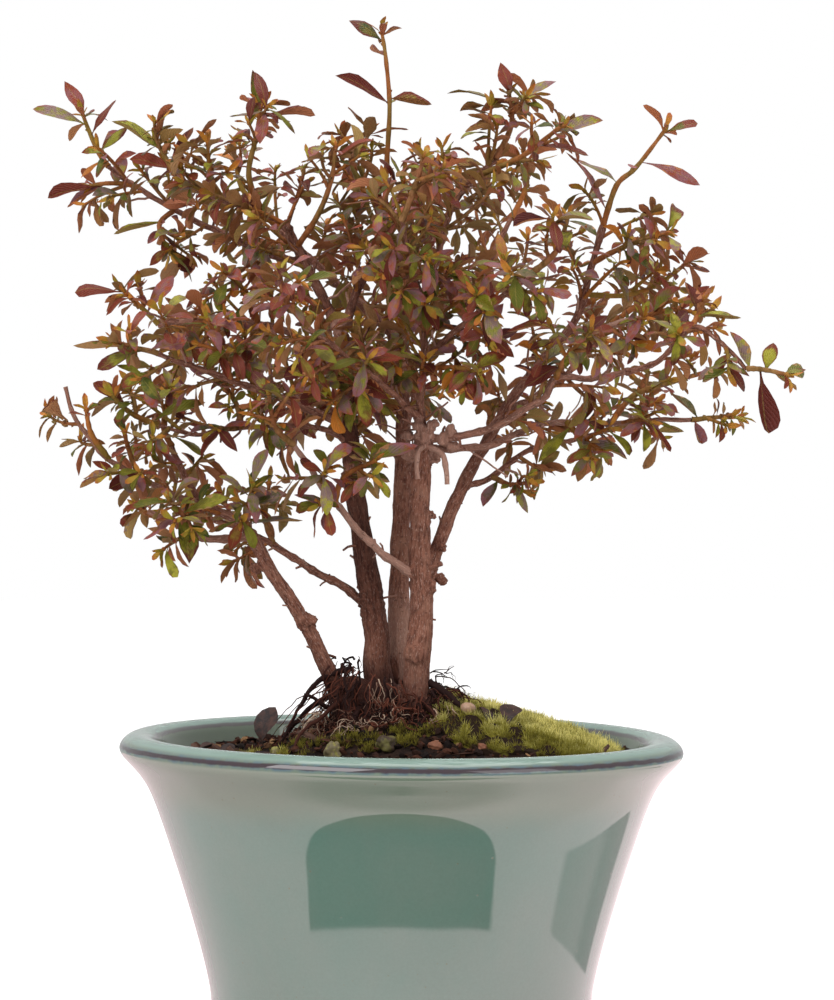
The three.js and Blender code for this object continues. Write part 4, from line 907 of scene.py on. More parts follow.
# a collar where each branch leaves its limb, so that the two skins run into each other
for start, end, points in BRANCHES.values():
    curve = limb_curve(points, 8)[:4]
    shapes.append(tube(curve, np.linspace(start + 0.7, start, len(curve)), 10))
points, faces, _ = gathered(shapes)
trunk = mesh_from("trunk", points, faces, bark)
lumps = [(front(centre), half) for centre, half in CROWN_LUMPS]
lumps += [(front(knob[:3]), (knob[3],) * 3) for knob in KNOBS]
for centre, half in lumps:
    bpy.ops.mesh.primitive_ico_sphere_add(subdivisions=4, radius=1)
    lump = bpy.context.object
    for vertex in lump.data.vertices:
        gnarl = 1 + 0.16 * noise.noise(vertex.co * 1.7 + Vector(centre)) + 0.08 * noise.noise(vertex.co * 4)
        vertex.co = Vector(centre + np.array(vertex.co) * half * gnarl) * MM
    trunk.select_set(True)
    bpy.context.view_layer.objects.active = trunk
    bpy.ops.object.join()
    trunk.select_set(False)
bpy.context.view_layer.objects.active = trunk
trunk.select_set(True)
bpy.ops.object.modifier_add(type="REMESH")
trunk.modifiers["Remesh"].mode = "VOXEL"
trunk.modifiers["Remesh"].voxel_size = BARK_STEP * MM
bpy.ops.object.modifier_apply(modifier="Remesh")
bpy.ops.object.modifier_add(type="SMOOTH")
trunk.modifiers["Smooth"].iterations = 5
bpy.ops.object.modifier_apply(modifier="Smooth")
bpy.ops.object.shade_smooth()
trunk.select_set(False)


def grain_near(points, curves):
    """The place of each point in the grain of the nearest limb, across, over and along it, and that limb's number."""
    nearest, owner = np.full(len(points), 1e9), np.zeros(len(points), int)
    grain = np.zeros((len(points), 3))
    for index, curve in enumerate(curves):
        travelled = float(index * LIMB_APART)
        across = square_to(unit(curve[1] - curve[0]))[0]
        for start, end in zip(curve[:-1], curve[1:]):
            run = end - start
            reach = np.linalg.norm(run)
            along = run / reach
            across = unit(across - along * (across @ along))
            over = np.cross(along, across)
            away = points - start
            share = np.clip(away @ run / reach**2, 0, 1)
            off = away - share[:, None] * run
            distance = np.linalg.norm(off, axis=1)
            closer = distance < nearest
            nearest[closer], owner[closer] = distance[closer], index
            grain[closer, 0] = off[closer] @ across
            grain[closer, 1] = off[closer] @ over
            grain[closer, 2] = travelled + share[closer] * reach
            travelled += reach
    return grain, owner


count = len(trunk.data.vertices)
skin = read_all(trunk.data.vertices, "co", 3, np.float32).astype(float) / MM
outward = read_all(trunk.data.vertices, "normal", 3, np.float32).astype(float)
grain, owners = grain_near(skin, list(stem_curves.values()))
rises, knobbly = np.zeros(count), np.zeros(count)
for knob in KNOBS:
    off = np.linalg.norm(skin - front(knob[:3]), axis=1)
    if knob[3] < 4:
        knobbly = np.maximum(knobbly, np.clip(2 - off / (knob[3] + 1), 0, 1))
for i, ((a, o, s), height) in enumerate(zip(grain.tolist(), skin[:, 2].tolist())):
    furrow = noise.noise(Vector((a * 0.62, o * 0.62, s * 0.12)))
    crease = noise.noise(Vector((a * 1.3, o * 1.3, s * 0.5)))
    swelling = noise.noise(Vector((a * 0.12, o * 0.12, s * 0.11)))
    rough = 1 + 0.8 * min(1, max(0, (140 - height) / 20))
    rises[i] = 0.2 * furrow * rough + 0.16 * crease * rough + 0.55 * swelling
    if knobbly[i] > 0:
        spot = Vector(skin[i])
        rises[i] += knobbly[i] * (1.1 * noise.noise(spot * 0.5) + 0.7 * noise.noise(spot * 1.2))
trunk.data.vertices.foreach_set("co", ((skin + outward * rises[:, None]) * MM).astype(np.float32).ravel())
trunk.data.update()
store_grain(trunk, grain)
STEM_TONE, OLD_KNOB_TONE = 0.52, 0.78
# tones: the left stem behind is dark above its foot, the middle one pale at its foot, and the old knobs are pale
stem_names = list(stem_curves)
tones = np.full(count, STEM_TONE)
for name, low_tone, high_tone, low, high in (
    ("stem_back_left", 0.42, 0.12, 135, 175), ("fork_left", 0.2, 0.3, 258, 300), ("fork_right", 0.2, 0.3, 258, 300),
    ("stem_back", 0.86, 0.42, 150, 185), ("stem_right", 0.5, 0.36, 190, 215), ("stem_left", 0.6, 0.5, 120, 180),
):
    own = owners == stem_names.index(name)
    tones[own] = np.interp(skin[own, 2], (low, high), (low_tone, high_tone))
tones = np.maximum(tones, OLD_KNOB_TONE * knobbly * np.clip((skin[:, 2] - 205) / 8, 0, 1))
# the root crown between the stems' feet is dark
foot = np.where(skin[:, 0] < -1, np.interp(skin[:, 2], (131, 143), (0, 1)), np.interp(skin[:, 2], (124, 129), (0, 1)))
tones *= foot
tint_by_copy(trunk, 1, tones)
belongs(trunk, "bark", "wood")

# ---- Wood: branches ----
# Thin bare branches run out from the stems through the crown. They are tubes with swollen leaf scars every
# few millimetres, and cut or dead ends; each starts inside the limb that carries it.
def barked(name, shapes, tones):
    """A piece of limbs in bark, with a tone for each of its points."""
    points, faces, grain = gathered(shapes)
    piece = mesh_from(name, points, faces, bark, smooth=50)
    store_grain(piece, grain)
    tint_by_copy(piece, 1, tones)
    belongs(piece, "bark", "wood")


PALE_LIMBS = {"cross_twig": 0.85, "right_one": 0.68, "right_two": 0.72, "left_bare": 0.7, "left_stub": 0.7,
              "burl_stub": 1, "low_stub": 1, "pale_stub": 0.95, "leader": 0.6, "left_middle": 0.65}
BRANCH_TONE, SCAR_STEP, SCAR_RISE = 0.45, 8.5, 0.22
shapes, tones = [], []
for index, (name, (start, end, points)) in enumerate(BRANCHES.items()):
    curve = limb_curve(points, 12)
    along = np.linspace(0, 1, len(curve))
    travelled = distances(curve)
    scar = np.exp(-((travelled + 3 * math.sin(index)) % SCAR_STEP - 2) ** 2 / 0.8)
    radii = (start + (end - start) * along) * (1 + SCAR_RISE * scar)
    wander = np.array([[ruffle(s, index * 9, axis * 40, 11) for axis in range(3)] for s in travelled])
    curve = curve + wander * np.minimum(1, travelled / 12)[:, None] * 0.9
    shapes.append(tube(curve, radii, 9, 0.12, 400 + index * 90.0))
    tones += [PALE_LIMBS.get(name, BRANCH_TONE)] * len(shapes[-1][0])
barked("branches", shapes, tones)

# ---- Wood: bare twigs ----
# Dead twigs and the stubs of lost ones stand out from the limbs: thin, kinked and mostly pale. Each: the limb, the
# least and most share along it, how many, and their least and most length in millimetres.
BARE_TWIGS = [
    ("stem_left", 0.3, 0.95, 6, 2, 4), ("stem_back_left", 0.35, 0.75, 8, 3, 10),
    ("stem_back_left", 0.75, 0.98, 9, 8, 24), ("stem_back", 0.5, 0.95, 6, 4, 16),
    ("stem_front", 0.4, 0.97, 6, 2, 4), ("stem_right", 0.15, 0.55, 5, 2, 7), ("stem_right", 0.5, 0.95, 8, 6, 20),
    ("side_left", 0.1, 0.9, 7, 2, 4), ("cross_twig", 0.1, 0.9, 5, 2, 4), ("right_one", 0.1, 0.9, 8, 3, 14),
    ("right_two", 0.1, 0.9, 8, 3, 18), ("right_three", 0.2, 0.9, 5, 3, 14), ("left_middle", 0.1, 0.9, 9, 6, 22),
    ("left_dark", 0.1, 0.9, 8, 4, 18), ("left_front", 0.1, 0.9, 9, 5, 20), ("left_riser", 0.2, 0.9, 4, 3, 10),
    ("crown_left", 0.1, 0.9, 5, 4, 14), ("crown_far_left", 0.1, 0.9, 6, 4, 16), ("fork_left", 0.2, 0.9, 6, 6, 20),
    ("fork_right", 0.2, 0.9, 6, 6, 20), ("leader", 0.1, 0.9, 9, 5, 20), ("front_left", 0.1, 0.9, 7, 5, 18),
    ("front_right", 0.1, 0.9, 7, 5, 16), ("front_top", 0.1, 0.9, 5, 5, 16), ("top_right", 0.1, 0.9, 7, 4, 16),
    ("back_left", 0.1, 0.9, 5, 5, 18), ("back_right", 0.1, 0.9, 5, 5, 18), ("back_middle", 0.1, 0.9, 4, 5, 16),
    ("back_low_left", 0.1, 0.9, 4, 5, 16), ("back_low_right", 0.1, 0.9, 4, 5, 16),
]
LIMBS = STEMS | BRANCHES


def jitter(draw):
    """Three draws between -0.5 and 0.5."""
    return np.array((draw(), draw(), draw())) - 0.5


draw = seeded(61)
shapes, tones = [], []
for name, low, high, count, least, most in BARE_TWIGS:
    _, thick, points = LIMBS[name]
    limb = limb_curve(points, 6)
    for _ in range(count):
        place_on = (low + (high - low) * draw()) * (len(limb) - 2)
        k = int(place_on)
        along = unit(limb[k + 1] - limb[k])
        across, over = square_to(along)
        turn, lean = 6.28 * draw(), 0.7 + 0.7 * draw()
        heading = along * math.cos(lean) + (across * math.cos(turn) + over * math.sin(turn)) * math.sin(lean)
        length = thick + least + (most - least) * draw() ** 1.5
        chain = [limb[k] + (limb[k + 1] - limb[k]) * (place_on - k)]
        kinks = 2 + int(length / 4)
        for _ in range(kinks):
            heading = unit(heading + jitter(draw) * 0.75)
            chain.append(chain[-1] + heading * length / kinks)
        radius = 0.38 + 0.25 * draw()
        shapes.append(tube(chain, np.linspace(radius, radius * 0.7, len(chain)), 5, 0.1, 700 + 9.0 * len(shapes)))
        tones += [0.45 + 0.5 * draw()] * len(shapes[-1][0])
barked("bare_twigs", shapes, tones)

# ---- Wood: exposed roots ----
# Washed-out roots run from the crown over the mound and into the soil: a dozen strong ones, and a tangle of
# fine dark and pale ones. Strong roots: radius, and points [x, z, depth].
ROOTS = [
    (1.1, [(-18, 138, -6), (-30, 133, -9), (-38, 122, -14), (-46, 106, -18)]),
    (0.9, [(-16, 132, -9), (-27, 122, -16), (-36, 115, -24), (-42, 104, -30)]),
    (1.3, [(-8, 130, -8), (-16, 122, -18), (-19, 113, -26), (-22, 104, -34)]),
    (0.8, [(-10, 134, -8), (-13, 122, -20), (-12, 113, -26), (-14, 104, -34)]),
    (1, [(-2, 130, -10), (-5, 120, -21), (-3, 112, -28), (-2, 104, -36)]),
    (1.4, [(10, 133, -12), (18, 127, -15), (26, 119, -20), (32, 110, -24)]),
    (1, [(6, 128, -14), (12, 121, -22), (17, 113, -28), (20, 104, -36)]),
    (1.2, [(8, 130, 0), (22, 125, 4), (34, 117, 8), (44, 108, 10)]),
    (1.2, [(-22, 130, -2), (-32, 124, 4), (-42, 114, 8), (-52, 102, 12)]),
    (1.1, [(-8, 130, 14), (-18, 124, 22), (-26, 115, 30), (-34, 103, 38)]),
    (1.2, [(2, 132, 18), (6, 124, 28), (10, 115, 36), (14, 104, 46)]),
    (0.9, [(-20, 128, -7), (-26, 124, -13), (-33, 128, -15), (-35, 127.5, -16)]),
]
# Fine roots spring from the crown's skin: how many, the middle of where they start, how far that spreads, the way
# they head, the least and the most length in millimetres, and 1 for pale ones. The first two rows are all round.
FINE_ROOTS = [
    (170, None, 0, None, 12, 38, 0),
    (24, None, 0, None, 8, 24, 1),
    (12, (-4, -22, 124), 4, (0.1, -0.6, -0.7), 8, 20, 1),
    (18, (-27, -14, 124), 3, (-0.8, -0.3, -0.45), 10, 26, 1),
    (15, (-15, -22, 119), 3, (-0.3, -0.5, -0.7), 8, 20, 1),
    (7, (-10, -18, 131), 3, (0, -0.2, -1), 8, 16, 1),
    (6, (14, -20, 124), 4, (0.6, -0.4, -0.5), 8, 18, 1),
    (30, (-20, -10, 134), 6, (-0.7, -0.4, -0.2), 8, 26, 0),
    (34, (-10, -14, 130), 8, (0, -0.7, -0.4), 8, 24, 0),
    (34, (2, -19, 124), 8, (0.3, -0.6, -0.6), 10, 30, 0),
    (20, (-19, 2, 139), 5, (-0.3, -0.2, 0.2), 6, 18, 0),
    (22, (12, -13, 129), 4, (0.9, -0.2, 0.1), 8, 26, 0),
    (8, (13, -8, 134), 3, (0.9, 0, 0.4), 4, 12, 0),
]
STRAND_RADIUS, STRAND_BOW, STRAND_TONE = 0.26, 16, 0.5
# near-straight strands that stand off the trunk: where they start, and where they meet the soil
STRANDS = [((-24, -9, 134), (-47, -20)), ((-26, -8, 131), (-50, -14)), ((-22, -12, 133), (-41, -26)),
           ((-27, -6, 133), (-54, -6)), ((4, -16, 127), (14, -34)), ((-14, 12, 136), (-34, 24))]
root_skin, tree, shader, place = finish_of("root_skin", 0.75)
shade = shade_of(tree)
fibre = speckled(tree, place, 700, 4, (1, 1, 0.5))
colour = blended(tree, stepped(tree, shade, 0.15, 0.75), paint(38, 19, 17), paint(104, 58, 44))
colour = blended(tree, stepped(tree, shade, 0.8, 0.95), colour, paint(206, 180, 158))
colour = grained(tree, 0.5, colour, fibre, (0.35, 0.32, 0.3), (1.5, 1.45, 1.4))
coloured(tree, shader, colour, 0.15)
bumped(tree, shader, fibre, 0.6, 0.0005)


def toned_tube(chain, radii, sides, tone, knobbly=0.0):
    """A tube's points and faces, and one tone for all of its points."""
    points, faces, _ = tube(chain, radii, sides, knobbly)
    return points, faces, [tone] * len(points)


draw = seeded(29)
shapes = []
for radius, points in ROOTS:
    curve = limb_curve(points, 9)
    wander = np.array([[ruffle(i * 1.3, radius * 60, axis * 50, 3) for axis in range(3)] for i in range(len(curve))])
    curve = curve + wander * np.linspace(0, 1.6, len(curve))[:, None]
    radii = np.linspace(radius * 1.15, 0.4, len(curve))
    shapes.append(toned_tube(curve, radii, 8, 0.04 + 0.4 * draw() ** 2, 0.35))


def creeping_root(spot, heading, length):
    """A fine root's points: it kinks its way down to the mound, creeps over it and ends free."""
    chain, travelled = [spot], 0
    while travelled < length:
        over = spot[2] - soil_height(spot[0], spot[1])
        heading = unit(heading + jitter(draw) * 1.4 - (0, 0, 0.4 * min(1, max(0, over - 1) / 6)))
        step = 0.9 + 0.7 * draw()
        spot = spot + heading * step
        ground = soil_height(spot[0], spot[1])
        if spot[2] < ground + 0.3:
            spot = np.array((spot[0], spot[1], ground + 0.25 + 0.9 * draw() ** 2))
            heading = unit(heading * (1, 1, 0.1))
        chain.append(spot)
        travelled += step
    return chain


def add_root(chain, thick, shade):
    shapes.append(toned_tube(chain, np.linspace(thick, thick * 0.35, len(chain)), 4, shade))


for count, middle, spread, way, least, most, pale in FINE_ROOTS:
    for _ in range(count):
        turn = 6.28 * draw()
        if middle is None:
            out = np.array((math.cos(turn), math.sin(turn), 0))
            spot = np.array((-6, -2, 113 + 22 * draw() ** 1.3)) + out * (14 + 6 * draw(), 10 + 5 * draw(), 0)
            heading = unit(out + (0, 0, -0.3 - 0.8 * draw()))
        else:
            spot = np.array(middle) + jitter(draw) * spread * 2
            heading = unit(np.array(way) + jitter(draw) * 0.9)
        chain = creeping_root(spot, heading, least + (most - least) * draw())
        thick = 0.13 + 0.17 * draw() ** 2 if pale else 0.16 + 0.45 * draw() ** 2.5
        shade = 0.8 + 0.2 * draw() if pale else 0.75 * draw() ** 1.4
        add_root(chain, thick, shade)
        if draw() < 0.45:
            fork = len(chain) // 3
            add_root(creeping_root(chain[fork], unit(chain[fork + 1] - chain[fork] + (0, 0, 0.2)), least * 0.8),
                     thick * 0.7, shade)
for start, (end_x, end_y) in STRANDS:
    start, end = np.array(start, float), np.array((end_x, end_y, soil_height(end_x, end_y) + 0.2))
    chain = [start + (end - start) * t + (0, 0, STRAND_BOW * t * (1 - t)) for t in np.linspace(0, 1, 14)]
    add_root([spot + jitter(draw) * 0.7 for spot in chain], STRAND_RADIUS, STRAND_TONE)
points, faces, shades = gathered(shapes)
roots = mesh_from("exposed_roots", points, faces, root_skin, smooth=70)
tint_by_copy(roots, 1, shades)
belongs(roots, "bark", "wood")

# ---- Leafy branchlets ----
# Each branchlet grew as one: a young twig, its side twigs, and soft, slightly folded leaves in whorls round each
# tip. They are placed by one rule with repeatable draws, and keep clear of the wood and of each other.

# Each: warmth of its leaves from green 0 to bronze 1, its twig's points [x, z, depth], side twigs, leaves in each
# end whorl, leaves along the twig, and single leaves as (base x, base z, tip x, tip z, width, tip's added depth).
BRANCHLETS = {
    "low_left_twig": (0.4, [(-91, 205, -16), (-95, 211, -22), (-100, 222, -26)], 1, 4, 2,
        [(-93, 208, -106, 203, 6, -3)]),
    "low_left_rosette": (0.5, [(-106, 213.5, -20), (-112, 222, -26), (-114, 231, -29)], 0, 2, 0, []),
    "low_left_hanging": (0.3, [(-81, 189.5, -27), (-78, 193, -34), (-84, 199, -40)], 0, 4, 1,
        [(-78, 192, -76, 176, 8, -4), (-80, 194, -93, 184, 6, -3), (-79, 194, -62, 199, 6.5, -6)]),
    "low_left_elbow": (0.2, [(-55, 187, -15), (-56, 193, -22), (-54, 203, -30)], 0, 3, 1,
        [(-56, 190, -36, 191, 7.5, -8), (-56, 196, -42, 201, 7, -4), (-55, 200, -66, 208, 6, -4)]),
    "left_curled": (0.6, [(-83, 218, 0), (-86, 227, 3), (-83, 238, 6)], 1, 4, 2, [(-85, 222, -71, 215, 7, 3)]),
    "left_dark_end": (0.5, [(-88, 226, -16), (-97, 231, -20), (-104, 236, -22)], 0, 4, 1,
        [(-90, 227, -71, 234, 6, -4), (-100, 233, -112, 241, 6, 2)]),
    "left_dark_middle": (0.4, [(-58, 225, -8.5), (-60, 234, -16), (-66, 243, -14)], 1, 4, 2, []),
    "side_end": (0.4, [(-70, 192, 34), (-80, 197, 40), (-88, 205, 44)], 1, 4, 2, []),
    "side_middle": (0.3, [(-46, 182, 16), (-50, 192, 24), (-48, 204, 32)], 1, 4, 1, []),
    "cross_end": (0.4, [(-39, 219, -37), (-45, 226, -44), (-48, 237, -50)], 1, 4, 1,
        [(-42, 222, -29, 229, 7, -4)]),
    "cross_middle": (0.3, [(-24, 198, -25.5), (-20, 207, -32), (-10, 213, -40)], 0, 4, 0,
        [(-18, 209, -4, 206, 5, -2), (-12, 212, 6, 219, 6, -3)]),
    "left_middle_end": (0.7, [(-88, 262, 30), (-95, 268, 32), (-101, 275, 34)], 0, 4, 1,
        [(-100, 273, -118, 274, 6.5, 2), (-92, 266, -83, 280, 7, 3)]),
    "left_front_end": (0.6, [(-88, 252, -40), (-96, 253, -43), (-103, 256, -45)], 0, 4, 0,
        [(-98, 254, -119, 254.5, 6.5, 0), (-94, 253, -110, 246, 7, -3), (-92, 252, -78, 256, 7, -5)]),
    "left_front_middle": (0.5, [(-62, 242.5, -27.5), (-66, 252, -38), (-70, 264, -44)], 1, 4, 1, []),
    "left_middle_rise": (0.6, [(-52, 262.3, 18.5), (-56, 272, 10), (-64, 281, 2)], 1, 4, 2, []),
    "left_middle_back": (0.4, [(-70, 263.3, 25.5), (-78, 252, 38), (-84, 243, 46)], 1, 4, 1, []),
    "top_far_left": (0.7, [(-106, 319, 58), (-110, 326, 59), (-115, 337, 60)], 0, 2, 1,
        [(-114, 334, -133.5, 339.5, 6, 0), (-115, 337, -121, 350, 5.5, 2), (-112, 331, -103, 343, 6, 2),
         (-109, 324, -99, 333, 6.5, -4)]),
    "top_far_left_low": (0.8, [(-97, 312, 56), (-104, 312, 60), (-112, 312, 63)], 0, 2, 0,
        [(-110, 312, -128, 307, 6, 1), (-103, 312, -101, 323, 8, 4), (-108, 312, -121, 304, 6.5, 3)]),
    "top_left_under": (0.4, [(-82, 303.3, 49.5), (-87, 298, 46), (-84, 288, 44)], 1, 4, 0,
        [(-86, 299, -104, 294, 4.5, -2)]),
    "top_left_tip": (0.5, [(-82, 316, 38), (-85, 321, 39), (-89, 329, 40)], 0, 3, 0,
        [(-84, 319, -75, 333, 7, -3), (-87, 325, -104, 336, 6.5, 3), (-83, 318, -98, 322, 6.5, 5)]),
    "top_left_middle": (0.4, [(-66, 307.5, 29.5), (-68, 316, 24), (-70, 327, 21)], 1, 4, 0,
        [(-67, 314, -81, 322, 7.5, -5)]),
    "top_shoot_left": (0.6, [(-50, 302, 20.5), (-55, 316, 17), (-52, 331, 14), (-51, 340, 13)], 1, 4, 1,
        [(-51, 338, -31, 338, 6, -3), (-51, 339, -55, 354, 5, 1)]),
    "top_shoot_fork": (0.4, [(-38, 290, 13), (-31, 301, 6), (-26, 314, 2), (-24, 326, 1)], 1, 4, 2,
        [(-25, 322, -10, 329, 6, -3)]),
    "top_shoot_tall": (1.0, [(-6, 305, 24), (-5, 322, 20), (-4, 340, 17), (-5.5, 358, 14), (-7, 367, 13)], 0, 2, 2,
        [(-6.5, 364, -19, 372, 6.5, 0), (-4, 342, -24, 352, 6, -4), (-4, 344, 11, 341.5, 6.5, 3)]),
    "top_shoot_neighbour": (0.5, [(-7.5, 295, 21.5), (-13, 307, 32), (-14, 320, 40), (-12, 332, 44)], 1, 4, 1, []),
    "top_right_shoot": (0.5, [(34, 322, 0), (39, 334, 3), (39, 345, 4)], 1, 3, 1,
        [(39, 343, 16.5, 346, 5, 2), (39, 342, 56, 350, 5, -2), (39, 345, 36, 357, 5.5, -2)]),
    "top_right_outer": (0.6, [(27, 315.5, -3), (44, 322, -12), (58, 334, -18)], 1, 4, 0,
        [(56, 332, 73, 336, 6, 2), (50, 327, 68, 324, 6, -4)]),
    "top_middle": (0.6, [(0, 300, -56), (4, 311, -60), (8, 323, -60)], 1, 4, 1, []),
    "top_leader": (0.5, [(14, 292, -12), (9, 303, -22), (10, 318, -28)], 1, 4, 2, []),
    "upper_right_tip": (0.8, [(73, 298, 30), (78, 313, 26), (85, 319.5, 24), (95, 332, 21)], 0, 2, 1,
        [(94, 330, 107, 335, 5, 0), (86, 320, 108, 312, 5.5, 3), (78, 313, 62, 322, 6, 3),
         (74, 302, 60, 325, 8.5, -6)]),
    "upper_right_middle": (0.6, [(69, 284, 28.5), (80, 289, 22), (96, 295, 16)], 1, 4, 1,
        [(80, 289, 92, 281, 6, -4)]),
    "upper_right_low": (0.7, [(66, 273, 26.5), (80, 273, 34), (92, 277, 40), (104, 285, 42)], 1, 4, 1, []),
    "stub_end": (0.6, [(88, 265, 12), (96, 268, 8), (104, 267, 2)], 1, 4, 1, [(90, 266, 101, 276, 7, -2)]),
    "far_right_end": (0.3, [(125, 246.5, -41), (131, 245.5, -43), (139, 244.5, -45)], 0, 1, 0,
        [(130, 245.6, 131.5, 223, 9.5, -2), (126, 246.3, 119, 260, 6, 3), (132, 245.4, 134, 256, 5.5, 3),
         (138, 244.6, 146.5, 246, 4.5, 0), (135, 245, 143, 239, 4.5, 2)]),
    "far_right_middle": (0.4, [(105, 261.5, -33), (107, 266, -30), (109, 271, -27)], 0, 3, 0,
        [(107, 265, 123, 265, 6, -3), (107, 267, 103, 278, 6, 2), (106, 264, 95, 258, 6, 4)]),
    "right_two_end": (0.2, [(105, 228, -18), (112, 229.5, -20), (119, 229.5, -21)], 0, 4, 1,
        [(107, 228.5, 98, 238, 6, 3), (106, 228.2, 108, 219, 5.5, -3)]),
    "right_two_rise": (0.5, [(76, 226.8, -9.5), (84, 236, -2), (98, 241, 4), (114, 246, 8)], 1, 4, 0,
        [(84, 236, 97, 231, 6, -3), (112, 245, 119, 251, 6, -2)]),
    "right_two_hanging": (0.3, [(60, 226.8, -6), (64, 221, -12), (72, 217, -16)], 0, 3, 0,
        [(62, 224, 69, 210, 7, 2), (66, 220, 82, 214, 7, -2), (61, 225, 50, 212, 5, -4)]),
    "right_three_end": (0.4, [(76, 224, 30), (84, 228, 36), (90, 236, 40)], 1, 4, 1, []),
    "right_three_hanging": (0.3, [(33, 207, 6), (38, 204, 0), (46, 205, -4)], 0, 3, 0,
        [(35, 206, 30, 196, 5.5, -2), (40, 204.3, 46, 194, 5, -2)]),
    "right_one_end": (0.5, [(56, 243, -31), (60, 251, -40), (68, 260, -46)], 1, 4, 1,
        [(58, 247, 44, 240, 6.5, -6)]),
    "leader_right": (0.5, [(7.7, 246, -13.5), (18, 247, -28), (28, 245, -40)], 1, 4, 0,
        [(16, 247, 27, 234, 7, -6)]),
    "front_left_end": (0.5, [(-34, 262, -60), (-42, 271, -66), (-44, 281, -70)], 1, 5, 1, []),
    "front_right_end": (0.5, [(48, 282, -58), (56, 290, -63), (60, 301, -64)], 1, 5, 1, []),
    "back_left_end": (0.4, [(-50, 302, 72), (-58, 311, 78), (-60, 322, 82)], 1, 5, 2, []),
    "back_right_end": (0.4, [(40, 300, 66), (46, 312, 73), (44, 324, 76)], 1, 5, 2, []),
    "back_middle_end": (0.4, [(0, 262, 80), (-2, 274, 86), (-6, 287, 88)], 1, 5, 2, []),
    "back_low_left_end": (0.4, [(-64, 250, 66), (-74, 255, 72), (-80, 264, 76)], 1, 5, 2, []),
    "back_low_right_end": (0.4, [(76, 262, 64), (86, 269, 70), (92, 280, 72)], 1, 5, 2, []),
}
SMALL_LEAVED = {"low_left_twig": 0.75, "low_left_rosette": 0.7, "left_dark_middle": 0.8, "side_end": 0.8,
                "side_middle": 0.8, "cross_end": 0.8, "left_middle_back": 0.8, "far_right_middle": 0.7,
                "right_two_end": 0.6, "right_two_rise": 0.75, "right_three_end": 0.8, "right_three_hanging": 0.7}
LEAF_LENGTH, TWIG_RADIUS, TWIG_END, SIDE_TWIG_RADIUS = 16, 1.15, 0.85, 0.75
TRIES, TRY_TURN, LIGHT = 7, 0.9, 1.3
WOOD = -1  # the owner number of the wood's rods

rods = {"start": np.zeros((0, 3)), "run": np.zeros((0, 3)), "radius": np.zeros(0), "owner": np.zeros(0, int)}
leaf_spots = {"place": np.zeros((0, 3)), "owner": np.zeros(0, int)}


def add_rods(chain, start_radius, end_radius, owner):
    chain = np.asarray(chain, float)
    count = len(chain) - 1
    rods["start"] = np.vstack([rods["start"], chain[:-1]])
    rods["run"] = np.vstack([rods["run"], np.diff(chain, axis=0)])
    radii = start_radius + (end_radius - start_radius) * np.arange(count) / count
    rods["radius"] = np.append(rods["radius"], radii)
    rods["owner"] = np.append(rods["owner"], np.full(count, owner))


def add_spots(spots, owner):
    leaf_spots["place"] = np.vstack([leaf_spots["place"], spots])
    leaf_spots["owner"] = np.append(leaf_spots["owner"], np.full(len(spots), owner))


def is_clear(spots, owner, own=2.4, others=3.4, limb=2.5):
    """Whether points keep these distances to the owner's own leaves, to other leaves, and to other limbs."""
    spots = np.asarray(spots)
    off = spots[:, None] - rods["start"]
    share = np.clip((off * rods["run"]).sum(2) / (rods["run"] ** 2).sum(1), 0, 1)
    distance = np.linalg.norm(off - share[..., None] * rods["run"], axis=2)
    if (distance < rods["radius"] + np.where(rods["owner"] == owner, 0.4, limb)).any():
        return False
    middle = spots.mean(0)
    reach = np.linalg.norm(spots - middle, axis=1).max() + others
    near = ((leaf_spots["place"] - middle) ** 2).sum(1) < reach * reach
    allowed = np.where(leaf_spots["owner"][near] == owner, own, others)
    gaps = ((spots[:, None] - leaf_spots["place"][near]) ** 2).sum(2)
    return not (gaps < allowed * allowed).any()


def blade_frame(leaf, s):
    """The midrib's place at a share of its length, and the directions along it, up from it and to its right."""
    bend, reach = leaf["curl"] * s, leaf["length"] / leaf["curl"]
    along = leaf["along"] * math.cos(bend) - leaf["up"] * math.sin(bend)
    up = leaf["up"] * math.cos(bend) + leaf["along"] * math.sin(bend)
    centre = leaf["base"] + leaf["along"] * reach * math.sin(bend) - leaf["up"] * reach * (1 - math.cos(bend))
    return centre, along, up, np.cross(along, up)


def spots_of(leaf):
    spots = []
    for s in (0.3, 0.5, 0.7, 0.85, 1):
        centre, _, _, right = blade_frame(leaf, s)
        half = leaf["width"] * 0.4 if s < 1 else 0
        spots += [centre - right * half, centre, centre + right * half]
    return np.array(spots)


def along_chain(points, share):
    place = share * (len(points) - 1)
    i = min(math.floor(place), len(points) - 2)
    run = points[i + 1] - points[i]
    return points[i] + run * (place - i), unit(run)


def leaning(along, lean, turn):
    """A direction that leans from a line at a turn round it, and the leaf's up there."""
    across, over = square_to(along)
    out = across * math.cos(turn) + over * math.sin(turn)
    return along * math.cos(lean) + out * math.sin(lean), along * math.sin(lean) - out * math.cos(lean)


def square_up(up, along):
    return unit(up - along * (up @ along))


def place_leaf(base, along, lean, turn, length, width, curl, owner, **gaps):
    for attempt in range(TRIES):
        direction, up = leaning(along, lean, turn + attempt * TRY_TURN)
        up = square_up(up + (0, 0, LIGHT), direction)
        leaf = {"base": base, "along": direction, "up": up, "length": length, "width": width, "curl": curl}
        spots = spots_of(leaf)
        if is_clear(spots, owner, **gaps):
            add_spots(spots, owner)
            return [leaf]
    return []


